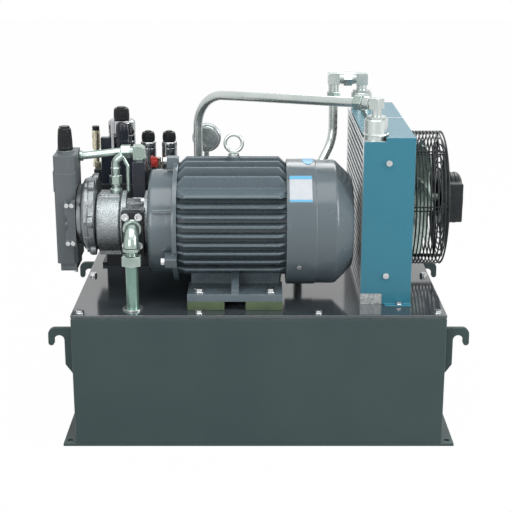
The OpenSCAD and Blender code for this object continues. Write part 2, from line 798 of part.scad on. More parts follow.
// Ring of slots between radius r and r + 9, left closed at the grille's four spokes
module grille_ring(r) {
    difference() {
        x_rod(cowl_end - cowl_t - 1, axis_y, axis_z, r + 9, cowl_t + 2);
        x_rod(cowl_end - cowl_t - 2, axis_y, axis_z, r, cowl_t + 4);
        for (a = [0, 90]) translate([cowl_end, axis_y, axis_z]) rotate([a + 45, 0, 0])
            cube([20, 2 * cowl_r, 8], center = true);
    }
}

module motor_screws() {
    color(chrome) {
        for (a = cowl_screw_angles) {
            cowl_screw(a, cowl_r, 3, 14);
            cowl_screw(a, cowl_r + 2.5 + seat_gap, 5, 2.5);
        }
        for (a = lug_angles) translate([motor_x - ring_l - lug_l, axis_y + (lug_r - 0.5) * cos(a),
            axis_z + (lug_r - 0.5) * sin(a)]) rotate([a, 0, 0]) rotate([0, -90, 0]) hex_bolt(m8_head, m8_r, 0);
    }
}

eye_x = motor_x + 111;
eye_ring_r = 17.2;
eye_wire = 3.6;
eye_seat = axis_z + fin_r + 3;

module eye_bolt() {
    color(motor_grey) difference() {
        union() {
            z_rod(eye_x, axis_y, eye_seat, 11, 6);
            z_rod(eye_x, axis_y, eye_seat - 20, 5, 21);
            translate([eye_x, axis_y, eye_seat + 5.5 + eye_ring_r + eye_wire]) rotate([90, 0, 0])
                rotate_extrude() translate([eye_ring_r, 0]) circle(r = eye_wire);
        }
    }
}

box_x = frame_end - 85;
box_l = 100;
gland_r = 8;
box_y = axis_y + fin_r;

// Box on the back of the frame, with its lid and an open cable gland
module terminal_box() {
    wall = 4;
    x1 = box_x + box_l;
    color(motor_grey) {
        difference() {
            block([box_x, box_y + 1, axis_z - 55], [x1, box_y + 46, axis_z + 35]);
            block([box_x + wall, box_y + 1 + wall, axis_z - 55 + wall],
                [x1 - wall, box_y + 47, axis_z + 35 - wall]);
            x_rod(box_x - 1, box_y + 22, axis_z - 20, gland_r, wall + 2);
        }
        block([box_x - 2, box_y + 46, axis_z - 57], [x1 + 2, box_y + 52, axis_z + 37]);
        difference() {
            x_rod(box_x - 14, box_y + 22, axis_z - 20, gland_r + 4, 14);
            x_rod(box_x - 15, box_y + 22, axis_z - 20, gland_r, 16);
        }
    }
}

module shaft_coupling() {
    color([0.4, 0.42, 0.44]) difference() {
        union() {
            x_rod(shaft_split + 1, axis_y, axis_z, coupling_r, 22);
            x_rod(shaft_split - 1, axis_y, axis_z, coupling_r - 4, 2);
            x_rod(shaft_split - 23, axis_y, axis_z, coupling_r, 22);
        }
        x_rod(shaft_split, axis_y, axis_z, shaft_r - 4 + run_gap, 30);
        x_rod(shaft_split - 30, axis_y, axis_z, pump_shaft_r + run_gap, 31);
    }
}

module pump_adapter() {
    pad = port_y + port_t;
    color(cast_silver) difference() {
        union() {
            x_rod(adapter_x, axis_y, axis_z, adapter_r, adapter_l);
            x_rod(adapter_x, axis_y, axis_z, adapter_r + 16, 10);
            x_rod(bracket_x - 10, axis_y, axis_z, adapter_r + 16, 10);
            block([port_x, pad, port_z], [port_x + port_l, axis_y, port_z + port_h]);
            block([pressure_x, axis_y, axis_z], [pressure_x + pressure_l, axis_y + 70, pressure_z]);
        }
        x_rod(adapter_x - 1, axis_y, axis_z, adapter_r - adapter_wall, adapter_l + 2);
        for (p = port_screw_places) y_rod(p[0], pad - 1, p[1], m8_r + run_gap, 12);
    }
}

module pump_housing() {
    color(cast_silver) difference() {
        union() {
            x_turn(axis_y, axis_z, [[0, pump_x], [pump_r - 4, pump_x], [pump_r, pump_x + 3],
                [pump_r, adapter_x - 5], [pump_r - 5, adapter_x], [0, adapter_x]]);
            block([pump_x + 6, axis_y - 20, axis_z], [pump_x + 46, axis_y + 20, axis_z + pump_r + 2]);
            block([pump_x + 4, axis_y - 24, axis_z - pump_r - 4], [adapter_x - 4, axis_y + 24, axis_z - pump_r + 12]);
        }
        x_rod(pump_x - 1, axis_y, axis_z, cavity_r, pump_l - pump_wall + 1);
        x_rod(pump_x, axis_y, axis_z, pump_shaft_r + run_gap, pump_l + 1);
        z_rod(drain_fit_x, axis_y, axis_z + cavity_r + 5, 5 + run_gap, 60);
    }
}

module pump_rotor() {
    rotor = cavity_r - 10;
    l = pump_l - pump_wall - 4;
    color([0.65, 0.65, 0.67]) {
        x_rod(flange_x + 12, axis_y, axis_z, pump_shaft_r, shaft_split - flange_x - 12);
        x_rod(pump_x + 2, axis_y, axis_z, rotor, l);
        for (a = [0 : 36 : 324]) translate([pump_x + 2, axis_y, axis_z]) rotate([a, 0, 0])
            translate([0, rotor - 4, -1.2]) cube([l, 10, 2.4]);
    }
}

// Stepped rings, with a lug at the top and the bottom
module pump_flange() {
    r = flange_r;
    color(cast_silver) difference() {
        union() {
            x_turn(axis_y, axis_z, [[0, flange_x], [r - 14, flange_x], [r - 10, flange_x + 4],
                [r - 10, flange_x + 9], [r, flange_x + 11], [r, flange_x + 17], [r - 3, flange_x + 19],
                [r - 3, flange_x + 24], [r, flange_x + 26], [r, pump_x], [0, pump_x]]);
            for (a = [60, 240]) translate([pump_x - 12, axis_y + r * cos(a), axis_z + r * sin(a)])
                rotate([0, 90, 0]) cylinder(h = 12, r = 12);
        }
        x_rod(flange_x + 10, axis_y, axis_z, pump_shaft_r + run_gap, flange_l);
    }
}

reg_front = axis_y - 45;
reg_back = reg_front + regulator_d;
reg_top = regulator_z + regulator_h;
reg_cap_x = regulator_x + 19;

module regulator_block() {
    boss_l = 21;
    color(cast_silver * 0.85) difference() {
        union() {
            block([regulator_x, reg_front, regulator_z + 16], [flange_x, reg_back, reg_top]);
            block([regulator_x + 6, reg_front + 4, regulator_z], [flange_x - 4, reg_back - 8, regulator_z + 16]);
            block([flange_x - boss_l, reg_front - 14, axis_z - 38], [flange_x, reg_front, axis_z + 57]);
            block([regulator_x - 3, reg_front + 10, axis_z + 70], [regulator_x, reg_back - 10, axis_z + 112]);
            z_rod(reg_cap_x, axis_y, reg_top, 18, 4);
        }
        z_rod(reg_cap_x, axis_y, reg_top - 40, 8 + run_gap, 50);
        translate([flange_x, reg_front, regulator_z + 10]) rotate(45)
            translate([-4, -4, 0]) cube([8, 8, regulator_h]);
    }
}

module regulator_cap() {
    color([0.08, 0.08, 0.09]) difference() {
        union() {
            z_rod(reg_cap_x, axis_y, reg_top + 4 + seat_gap, 15.5, 41);
            z_rod(reg_cap_x, axis_y, reg_top + 45 + seat_gap, 13.5, 3);
            translate([reg_cap_x, axis_y, reg_top + 48 + seat_gap]) hexagon(19, 4);
            z_rod(reg_cap_x, axis_y, reg_top - 38, 8, 43);
        }
        for (a = [0 : 30 : 330]) translate([reg_cap_x, axis_y, reg_top + 8]) rotate(a)
            translate([16.2, 0, 0]) cylinder(h = 30, r = 1.6);
    }
}

module pump_screws() {
    color(chrome) {
        for (p = port_screw_places) translate([p[0], port_y, p[1]]) rotate([90, 0, 0])
            socket_screw(15, m8_r, port_t + 10);
        for (x = [-16, -6]) for (z = [-30, 48]) translate([flange_x + x, reg_front - 14, axis_z + z])
            rotate([90, 0, 0]) cylinder(h = 5, r = 4.5);
        for (a = [118, 285, 320, 350]) translate([bracket_x - 10, axis_y + (adapter_r + 9) * cos(a),
            axis_z + (adapter_r + 9) * sin(a)]) rotate([0, -90, 0]) socket_screw(11, 3, 0);
        for (x = [14, 30]) translate([regulator_x + x, axis_y, regulator_z]) rotate([180, 0, 0])
            cylinder(h = x / 2, r = 4);
    }
}

drain_fit_x = pump_x + 39;
drain_base = axis_z + pump_r + 2;
drain_arm = 22;
drain_top = drain_base + 56;
drain_bend_x = drain_fit_x + drain_arm * sin(50);
drain_bend_z = drain_top + drain_arm * cos(50);

// Fitting on top of the pump, with a small tube that leads down beside the adapter
module case_drain_line() {
    color(zinc) {
        z_rod(drain_fit_x, axis_y, drain_base - 15, 5, 16);
        z_rod(drain_fit_x, axis_y, drain_base, 12.5, 8);
        z_rod(drain_fit_x, axis_y, drain_base + 8, 10, 10);
        translate([drain_fit_x, axis_y, drain_base + 18]) hexagon(23, 17);
        z_rod(drain_fit_x, axis_y, drain_base + 35, 9, 20);
        translate([drain_fit_x, axis_y, drain_top]) sphere(r = 10);
        translate([drain_fit_x, axis_y, drain_top]) rotate([0, 50, 0]) cylinder(h = drain_arm, r = 7);
        translate([drain_bend_x, axis_y, drain_bend_z]) sphere(r = 8);
        z_rod(drain_bend_x + 8, axis_y, axis_z + adapter_r + 16, 4, drain_bend_z - axis_z - adapter_r - 16);
    }
}

// Pipe from the regulator to the pressure block, with its hexagon union and elbow
module pilot_pipe() {
    px = pressure_x + 13;
    half = 13;
    color(zinc) {
        x_rod(flange_x, pilot_y, pilot_z, 11, 8);
        rod([flange_x + 8, pilot_y, pilot_z], [px - 37, pilot_y, pilot_top], pilot_r);
        translate([px - 37, pilot_y, pilot_top]) rotate([0, 90, 0]) hexagon(26, 19);
        x_rod(px - 18, pilot_y, pilot_top, 10, 8);
        block([px - half, pilot_y - half, pilot_top - half], [px + half, pilot_y + half, pilot_top + half]);
        translate([px, pilot_y, pressure_z + pressure_h]) hexagon(24, pilot_top - half - pressure_z - pressure_h);
    }
}

module pressure_block() {
    top = pressure_z + pressure_h;
    color([0.13, 0.14, 0.19]) difference() {
        block([pressure_x, axis_y + 2, pressure_z], [pressure_x + pressure_l, axis_y + 66, top]);
        for (y = [12, 56]) z_rod(pressure_x + 8, axis_y + y, top - 6, 3, 10);
    }
}

hose_port_x = [manifold_x + 50, manifold_end - 112];
hose_port_r = 9.3;
hose_port_l = 16;

stand_x = [manifold_x + 24, manifold_end - 16];

module valve_manifold() {
    color(valve_black) {
        difference() {
            union() {
                block([manifold_x, manifold_y, manifold_z - manifold_h],
                    [manifold_end, manifold_y + manifold_d, manifold_z]);
                block([manifold_x, valve_y - relief_r - 1, manifold_z],
                    [manifold_x + upper_l, manifold_y + manifold_d, upper_z]);
                block([cartridge_x - 24, manifold_y + 30, manifold_z],
                    [cartridge_x + cartridge_pitch + 24, manifold_y + manifold_d, cartridge_z]);
            }
            y_rod(manifold_x + 9, manifold_y - 1, manifold_z - 18, 4, 6);
            for (x = [0, cartridge_pitch]) z_rod(cartridge_x + x, valve_y, cartridge_z - 30, 9 + run_gap, 40);
            z_rod(relief_x, valve_y, upper_z - 30, 12 + run_gap, 40);
            z_rod(outlet_x, outlet_y, manifold_z - 30, 5, 40);
            for (x = hose_port_x) y_rod(x, manifold_y + manifold_d - hose_port_l, manifold_z - 66,
                hose_port_r, hose_port_l + 1);
        }
        block([stand_x[0], manifold_y + 10, tank_h], [stand_x[1] + stand_t, manifold_y + 14, manifold_z - manifold_h]);
        for (x = stand_x) {
            block([x, manifold_y + 10, tank_h + stand_t], [x + stand_t, manifold_y + 82, manifold_z - manifold_h]);
            block([x - 10, manifold_y + 10, tank_h], [x + 18, manifold_y + 82, tank_h + stand_t]);
        }
    }
}

// Solenoid valve beside the relief valve: body, coil and plug
module solenoid_valve() {
    x = manifold_x + 3;
    front = manifold_y + 12;
    middle = valve_y - relief_r - 1;
    coil_x = relief_x + 5;
    coil_r = 14;
    color([0.14, 0.14, 0.15]) {
        block([x + 16, front, manifold_z], [relief_x + 30, middle, upper_z + 36]);
        block([x + 16, front, upper_z], [x + 38, middle, upper_z + 74]);
        block([coil_x - 10, front, upper_z], [coil_x + 10, middle, upper_z + 60]);
        z_rod(coil_x, middle - coil_r - seat_gap, upper_z + 59, coil_r, 42);
        translate([coil_x, middle - coil_r - seat_gap, upper_z + 101]) scale([1, 1, 0.6]) sphere(r = coil_r);
    }
}

module relief_valve() {
    color(chrome) {
        z_rod(relief_x, valve_y, upper_z - 28, 12, 29);
        translate([relief_x, valve_y, upper_z]) hexagon(2 * relief_r - 16, relief_z - upper_z - 6);
        z_rod(relief_x, valve_y, relief_z - 6, relief_r - 3, 6);
        difference() {
            z_rod(relief_x, valve_y, relief_z, relief_r, relief_h);
            z_rod(relief_x, valve_y, relief_z + relief_h - 30, 10 + run_gap, 40);
        }
    }
}

// Ribbed knob of radius r and height h, on a screw that reaches down by stem
module ribbed_knob(r, h, stem_r, stem) {
    difference() {
        union() {
            cylinder(h = h, r = r);
            translate([0, 0, -stem]) cylinder(h = stem, r = stem_r);
        }
        for (a = [0 : 30 : 330]) rotate(a) translate([r + 0.6, 0, 4]) cylinder(h = h - 8, r = 1.8);
        translate([0, 0, h - 3]) cylinder(h = 4, r = r - 6);
    }
}

module relief_knob() {
    color([0.07, 0.07, 0.08]) translate([relief_x, valve_y, relief_z + relief_h + seat_gap])
        ribbed_knob(17.5, 28, 10, 28);
}

module cartridge_valves() {
    for (i = [0, 1]) translate([cartridge_x + i * cartridge_pitch, valve_y, cartridge_z]) {
        color(chrome) difference() {
            union() {
                translate([0, 0, -28]) cylinder(h = 29, r = 9);
                hexagon(2 * cartridge_r - 5, 10);
                translate([0, 0, 10]) cylinder(h = cartridge_h - 10, r = cartridge_r);
            }
            translate([0, 0, cartridge_h - 20]) cylinder(h = 21, r = 6 + run_gap);
        }
    }
}

module cartridge_knob(i) {
    color([0.07, 0.07, 0.08]) translate([cartridge_x + i * cartridge_pitch, valve_y,
        cartridge_z + cartridge_h + seat_gap]) ribbed_knob(cartridge_r - 2.5, 23, 6, 18);
}

module cartridge_knob_left() {
    cartridge_knob(0);
}

module cartridge_knob_right() {
    cartridge_knob(1);
}

module needle_valve() {
    color([0.76, 0.66, 0.38]) difference() {
        union() {
            translate([needle_x, valve_y, upper_z]) hexagon(16, 12);
            z_rod(needle_x, valve_y, upper_z + 12, 6.5, needle_h - 12);
            z_rod(needle_x, valve_y, upper_z + needle_h, 9, needle_h);
        }
        z_rod(needle_x, valve_y, upper_z + 2 * needle_h - 18, 3 + run_gap, 30);
    }
}

module needle_knob() {
    color([0.08, 0.08, 0.09]) translate([needle_x, valve_y, upper_z + 2 * needle_h + seat_gap]) {
        cylinder(h = 9, r = 8);
        translate([0, 0, -16]) cylinder(h = 17, r = 3);
    }
}

// Gauge that faces the back, with its stem down into the manifold
module gauge_case() {
    color([0.35, 0.36, 0.37]) {
        difference() {
            y_rod(gauge_x, gauge_y, gauge_z, gauge_r, gauge_l);
            y_rod(gauge_x, gauge_y + gauge_l - 8, gauge_z, gauge_r - 3, 10);
            y_rod(gauge_x, gauge_y + gauge_l - 16, gauge_z, 2 + run_gap, 10);
        }
        z_rod(gauge_x, gauge_y + 12 - 9, manifold_z + 18, 6, gauge_z - manifold_z - 18 - gauge_r + 4);
        translate([gauge_x, gauge_y + 3, manifold_z]) hexagon(19, 18);
    }
}

module gauge_needle() {
    y = gauge_y + gauge_l - 6;
    color([0.7, 0.12, 0.1]) {
        y_rod(gauge_x, y - 8, gauge_z, 2, 8);
        y_rod(gauge_x, y, gauge_z, 3.5, 2);
        translate([gauge_x, y + 1, gauge_z]) rotate([0, 45, 0]) translate([-0.8, -0.5, -7])
            cube([1.6, 1, gauge_r - 1]);
    }
}

bar_pitch = 14;
bar_t = 5;

// Bar-and-plate core between two vertical headers
module cooler_core() {
    x0 = cooler_x;
    y0 = cooler_front + shroud_t;
    y1 = cooler_back - shroud_t;
    z1 = cooler_top - 8;
    bars = floor((z1 - tank_h - 24) / bar_pitch);
    color(aluminium) difference() {
        union() {
            block([x0, y0, tank_h], [x0 + core_w, y0 + header_w, z1]);
            block([x0, y1 - header_w, tank_h], [x0 + core_w, y1, z1]);
            block([x0 + 6, y0 + header_w - 1, tank_h + 12], [x0 + core_w - 4, y1 - header_w + 1, z1 - 4]);
            for (i = [0 : bars]) translate([x0, y0 + header_w - 1, tank_h + 10 + i * bar_pitch])
                cube([core_w, y1 - y0 - 2 * header_w + 2, bar_t]);
            block([x0, y0 + header_w - 1, z1 - 6], [x0 + core_w, y1 - header_w + 1, z1]);
        }
        for (y = [port_front, port_back]) z_rod(port_cx, y, z1 - 30, 9, 40);
    }
}

module shroud_panel(y) {
    block([cooler_x, y, tank_h + 23], [cooler_end, y + shroud_t, cooler_top - 8]);
    block([notch_x, y, tank_h], [cooler_end, y + shroud_t, cooler_top]);
}

module cooler_shroud() {
    t = shroud_t;
    top_hole = boss_r + 2;
    color(cooler_teal) difference() {
        union() {
            shroud_panel(cooler_front);
            shroud_panel(cooler_back - t);
            block([cooler_x, cooler_front, cooler_top - t], [cooler_end, cooler_back, cooler_top]);
            block([cooler_end - t, cooler_front, tank_h], [cooler_end, cooler_back, cooler_top]);
            for (y = [cooler_front - foot_flange, cooler_back - t]) block([notch_x + 5, y, tank_h],
                [cooler_end, y + foot_flange + t, tank_h + 3]);
            x_rod(cooler_end - 16, cooler_mid, fan_z, fan_r + 6, 16);
        }
        x_rod(cooler_end - 20, cooler_mid, fan_z, fan_r + 3, 30);
        block([cooler_x - 1, cooler_front - 1, cooler_top - 8], [notch_x, port_front + top_hole, cooler_top + 1]);
        block([cooler_x - 1, port_back - top_hole, cooler_top - 8],
            [notch_x, cooler_back + 1, cooler_top + 1]);
        for (y = [port_front, port_back]) z_rod(port_cx, y, cooler_top - 5, top_hole, 10);
        for (p = shroud_screw_places) y_rod(p[0], cooler_front - 1, p[1], 3 + seat_gap, t + 2);
        for (p = shroud_screw_places) y_rod(p[0], cooler_back - t - 1, p[1], 3 + seat_gap, t + 2);
        for (y = tab_bolt_y) z_rod(tab_bolt_x, y, tank_h - 1, tab_bolt_r + seat_gap, 6);
    }
}

foot_flange = 14;
tab_bolt_r = 3;
tab_bolt_x = notch_x + 34;
tab_bolt_y = [cooler_front - 7, cooler_back + 7];
shroud_screw_places = [for (z = [61, 290]) [cooler_x + core_w + 4, tank_h + z]];

// Forged elbow: a square body with a round stem down from its corner and an arm along d
module forged_elbow(corner, stem, d, arm, s) {
    z_rod(corner[0], corner[1], corner[2] - stem, s - 1, stem);
    multmatrix(aim(corner, d)) {
        translate([-s, -s, -s]) cube([2 * s, 2 * s, 2 * s + 2]);
        translate([0, 0, s]) cylinder(h = arm - s, r = arm_r);
    }
}

module cooler_fittings() {
    rear = [port_cx, port_back, arm_z];
    drop = [drop_x, port_back, arm_z];
    color(zinc) {
        for (y = [port_front, port_back]) {
            z_rod(port_cx, y, cooler_top - 8, boss_r, 8 + boss_h);
            translate([port_cx, y, fitting_z]) hexagon(2 * boss_r - 12, 6);
        }
        difference() {
            forged_elbow(front_corner, arm_z - fitting_z, inlet_dir, arm_l - 3, arm_r - 2);
            rod(inlet_end - inlet_dir * socket_l, inlet_end + inlet_dir, tube_r + seat_gap);
        }
        forged_elbow(rear, arm_z - fitting_z, [-1, 0, 0], union_l / 2, arm_r);
        translate([port_cx - union_l / 2 - 9, port_back, arm_z]) rotate([0, 90, 0]) hexagon(30, 18);
        difference() {
            forged_elbow(drop, arm_l - 3, [1, 0, 0], union_l / 2, arm_r);
            z_rod(drop_x, port_back, arm_z - arm_l - 1, tube_r + seat_gap, socket_l + 1);
        }
    }
}

module cooler_bolts() {
    color(chrome) {
        for (p = shroud_screw_places) {
            translate([p[0], cooler_front, p[1]]) rotate([90, 0, 0]) cylinder(h = 4, r = 6);
            y_rod(p[0], cooler_front, p[1], 3, 12);
            y_rod(p[0], cooler_back, p[1], 6, 4);
            y_rod(p[0], cooler_back - 12, p[1], 3, 12);
        }
        for (y = tab_bolt_y) translate([tab_bolt_x, y, tank_h + 3]) hex_bolt(10, tab_bolt_r, 3);
        for (a = [45 : 90 : 315]) x_rod(cooler_end + 2, cooler_mid + (guard_r + 5) * cos(a),
            fan_z + (guard_r + 5) * sin(a), 5, 4);
    }
}

module inlet_tube() {
    color(zinc) bent_tube(inlet_path, tube_r, tube_bend);
}

module return_tube() {
    color(zinc) bent_tube(return_path, tube_r, tube_bend);
}

// Wire basket: hoops around the fan, rings on its face, and stays that join them
module fan_guard() {
    w = guard_wire;
    face_x = guard_end - 2 * w;
    color([0.1, 0.1, 0.1]) {
        for (x = [0, 0.33, 0.66, 1]) guard_ring(cooler_end + x * (guard_l - 2 * w), guard_r, 2 * w);
        for (r = [fan_motor_r + 14 : 16 : guard_r - 8]) guard_ring(face_x, r, 2 * w);
        for (a = [0 : 30 : 330]) translate([0, cooler_mid, fan_z]) rotate([a, 0, 0]) {
            block([cooler_end, guard_r - 3 * w, -w], [guard_end, guard_r - w, w]);
            block([face_x, fan_motor_r + 2, -w], [guard_end, guard_r - w, w]);
        }
        for (a = [45 : 90 : 315]) translate([0, cooler_mid, fan_z]) rotate([a, 0, 0]) difference() {
            block([cooler_end, guard_r - 2 * w, -7], [cooler_end + 2, guard_r + 12, 7]);
            x_rod(cooler_end - 1, guard_r + 5, 0, 2, 4);
        }
        difference() {
            x_rod(face_x, cooler_mid, fan_z, fan_motor_r + 6, 2 * w);
            x_rod(face_x - 1, cooler_mid, fan_z, fan_motor_r - 12, 2 * w + 2);
        }
    }
}

// Flat ring of outer radius r, w wide
module guard_ring(x, r, w) {
    difference() {
        x_rod(x, cooler_mid, fan_z, r, w);
        x_rod(x - 1, cooler_mid, fan_z, r - w, w + 2);
    }
}

fan_shaft_r = 8;
hub_x = cooler_end + 16;
hub_r = 44;
hub_l = 42;

module cooling_fan() {
    blade_tilt = 35;
    chord = hub_l / cos(blade_tilt);
    color([0.62, 0.65, 0.65]) {
        x_rod(hub_x, cooler_mid, fan_z, hub_r, hub_l);
        x_rod(hub_x + hub_l, cooler_mid, fan_z, fan_shaft_r, guard_end + 28 - hub_x - hub_l);
        intersection() {
            for (a = [0 : 60 : 300]) translate([hub_x + hub_l / 2, cooler_mid, fan_z]) rotate([a, 0, 0])
                translate([0, hub_r - 4, 0]) rotate([0, blade_tilt, 0]) translate([-1, 0, -chord])
                cube([2, fan_r, 2 * chord]);
            x_rod(hub_x, cooler_mid, fan_z, fan_r, hub_l);
        }
    }
}

module fan_motor() {
    color([0.13, 0.13, 0.14]) difference() {
        union() {
            x_turn(cooler_mid, fan_z, [[0, guard_end], [fan_motor_r, guard_end],
                [fan_motor_r, guard_end + 36], [fan_motor_r - 9, guard_end + 45], [0, guard_end + 45]]);
            block([guard_end + 3, cooler_mid - fan_motor_r - 4, fan_z - 41],
                [guard_end + 40, cooler_mid - 20, fan_z + 42]);
        }
        x_rod(guard_end - 1, cooler_mid, fan_z, fan_shaft_r + run_gap, 31);
    }
}

base_plate();
tank_body();
lid_gasket();
tank_lid();
lid_bolts();
lifting_hooks();
drain_plug();
level_gauge();
filler_neck();
filler_cap();
pipe_grommets();
suction_strainer();
suction_tube();
suction_elbow();
suction_port_block();
union_nuts();
mounting_pads();
foot_bolts();
motor_frame();
drive_end_bracket();
rear_end_shield();
stator_core();
rotor_shaft();
motor_bearings();
motor_fan();
fan_cowl();
motor_screws();
eye_bolt();
terminal_box();
shaft_coupling();
pump_adapter();
pump_housing();
pump_rotor();
pump_flange();
regulator_block();
regulator_cap();
pump_screws();
case_drain_line();
pilot_pipe();
pressure_block();
valve_manifold();
solenoid_valve();
relief_valve();
relief_knob();
cartridge_valves();
cartridge_knob_left();
cartridge_knob_right();
needle_valve();
needle_knob();
gauge_case();
gauge_needle();
cooler_core();
cooler_shroud();
cooler_fittings();
cooler_bolts();
inlet_tube();
return_tube();
fan_guard();
cooling_fan();
fan_motor();
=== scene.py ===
import json
from math import atan2, cos, pi, radians, remainder, sin, sqrt, tan, tau
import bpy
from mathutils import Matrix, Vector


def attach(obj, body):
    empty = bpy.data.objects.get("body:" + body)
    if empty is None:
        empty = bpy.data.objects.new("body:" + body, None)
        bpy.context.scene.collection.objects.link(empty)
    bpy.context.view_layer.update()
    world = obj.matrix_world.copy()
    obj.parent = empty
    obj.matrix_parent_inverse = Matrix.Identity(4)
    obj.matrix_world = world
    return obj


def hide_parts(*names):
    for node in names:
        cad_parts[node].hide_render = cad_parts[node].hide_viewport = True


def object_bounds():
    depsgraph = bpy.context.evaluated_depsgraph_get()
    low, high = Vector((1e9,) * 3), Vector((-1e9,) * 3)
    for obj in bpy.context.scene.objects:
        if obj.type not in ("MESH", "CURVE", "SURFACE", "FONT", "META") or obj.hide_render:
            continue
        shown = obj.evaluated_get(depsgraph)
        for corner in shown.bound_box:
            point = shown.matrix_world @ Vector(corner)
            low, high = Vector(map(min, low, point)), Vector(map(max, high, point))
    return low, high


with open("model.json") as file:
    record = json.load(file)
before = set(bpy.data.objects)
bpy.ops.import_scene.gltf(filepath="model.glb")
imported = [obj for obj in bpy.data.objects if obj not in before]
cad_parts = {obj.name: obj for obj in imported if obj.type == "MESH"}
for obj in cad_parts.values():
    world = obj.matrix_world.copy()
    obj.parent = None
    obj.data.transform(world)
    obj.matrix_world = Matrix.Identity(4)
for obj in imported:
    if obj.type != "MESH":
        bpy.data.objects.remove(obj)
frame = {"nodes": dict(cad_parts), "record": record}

from types import SimpleNamespace as Sizes

import bmesh
import bpy
from mathutils import Matrix, Vector

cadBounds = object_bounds()
nodes = frame["nodes"]
slotOf = {part["node"]: part["material_slot"] for part in frame["record"]["subparts"]}
bodyOf = {node: body for body, members in frame["record"]["behaviour"]["bodies"].items() for node in members}
mm = 0.001
right, back, up = (1, 0, 0), (0, 1, 0), (0, 0, 1)
towards, down = (0, -1, 0), (0, 0, -1)
white = (1, 1, 1, 1)

# Camera, lamps and floor
studio = Sizes(
    cameraPlace=(-0.0053, -2.4822, 1.0555), pitch=16.4, lens=84.375, sensor=36.0, skyLight=0.50,
    floorColour=(0.60, 0.61, 0.62, 1), floorHalf=9,
    floorGlow=0.985,  # how far the floor is lifted to white where it is seen
    lamps=[  # place, aim, width, height, watts
        ("topLamp", (0, -0.9, 2.5), (0, -0.05, 0.4), 2.4, 1.6, 38),
        ("keyLamp", (-1.3, -2.9, 1.3), (0, 0, 0.35), 1.4, 1.4, 26),
        ("sideLamp", (2.4, -1.2, 1.4), (0.1, 0, 0.35), 0.8, 1.6, 42),
        ("backLamp", (0.6, 2.2, 2.4), (0, 0, 0.4), 1.8, 1.0, 30),
    ])


def makeCamera():
    data = bpy.data.cameras.new("camera")
    data.lens = studio.lens
    data.sensor_width = studio.sensor
    data.clip_end = 50
    camera = bpy.data.objects.new("camera", data)
    camera.location = studio.cameraPlace
    camera.rotation_euler = (radians(90 - studio.pitch), 0, 0)
    bpy.context.collection.objects.link(camera)
    bpy.context.scene.camera = camera


def addNode(tree, kind, inputs=None, **settings):
    node = tree.nodes.new(kind)
    for key, value in settings.items():
        setattr(node, key, value)
    for key, value in (inputs or {}).items():
        if isinstance(value, bpy.types.NodeSocket):
            tree.links.new(value, node.inputs[key])
        else:
            node.inputs[key].default_value = value
    return node


def calc(tree, operation, *values):
    return addNode(tree, "ShaderNodeMath", dict(enumerate(values)), operation=operation).outputs[0]


def seenDirectly(tree):
    path = addNode(tree, "ShaderNodeLightPath").outputs
    return calc(tree, "MAXIMUM", calc(tree, "MAXIMUM", path["Is Camera Ray"], path["Is Glossy Ray"]),
                path["Is Transmission Ray"])


# Shader that changes from one surface to another by a share, led to the tree's output
def mixShaders(tree, share, one, other, outputKind):
    mix = addNode(tree, "ShaderNodeMixShader", {0: share, 1: one.outputs[0], 2: other.outputs[0]})
    addNode(tree, outputKind, {"Surface": mix.outputs[0]})


def makeWorld():
    world = bpy.data.worlds.new("studioWorld")
    world.use_nodes = True
    tree = world.node_tree
    tree.nodes.clear()
    soft = addNode(tree, "ShaderNodeBackground", {"Color": white, "Strength": studio.skyLight})
    seen = addNode(tree, "ShaderNodeBackground", {"Color": white, "Strength": 1.0})
    mixShaders(tree, seenDirectly(tree), soft, seen, "ShaderNodeOutputWorld")
    bpy.context.scene.world = world
    bpy.context.scene.view_settings.view_transform = "Standard"


def makeLamp(name, place, aim, width, height, watts):
    data = bpy.data.lights.new(name, "AREA")
    data.shape = "RECTANGLE"
    data.size, data.size_y = width, height
    data.energy = watts
    lamp = bpy.data.objects.new(name, data)
    lamp.location = place
    lamp.rotation_euler = (Vector(aim) - Vector(place)).to_track_quat("-Z", "Y").to_euler()
    bpy.context.collection.objects.link(lamp)


def makeFloor():
    half = studio.floorHalf
    mesh = bpy.data.meshes.new("floor")
    mesh.from_pydata([(-half, -half, 0), (half, -half, 0), (half, half, 0), (-half, half, 0)], [], [(0, 1, 2, 3)])
    floor = bpy.data.objects.new("floor", mesh)
    bpy.context.collection.objects.link(floor)
    material = bpy.data.materials.new("floorWhite")
    material.use_nodes = True
    tree = material.node_tree
    tree.nodes.clear()
    matt = addNode(tree, "ShaderNodeBsdfDiffuse", {"Color": studio.floorColour})
    glow = addNode(tree, "ShaderNodeEmission", {"Color": white, "Strength": 1.0})
    mixShaders(tree, calc(tree, "MULTIPLY", seenDirectly(tree), studio.floorGlow), matt, glow,
               "ShaderNodeOutputMaterial")
    mesh.materials.append(material)


makeCamera()
makeWorld()
for lamp in studio.lamps:
    makeLamp(*lamp)
makeFloor()
print("studio ready")


# A finish: patches are in cells per metre, bumps are (cells per metre, height in mm, strength), the darkening below is
# painted shade towards the foot of a casting: (upper height, lower height, share of the colour kept)
def finish(colour, shade, patch, rough, bumps, metal=0.0, spec=0.5, coat=0.0, wear=None, under=None, bands=None):
    return Sizes(**locals())
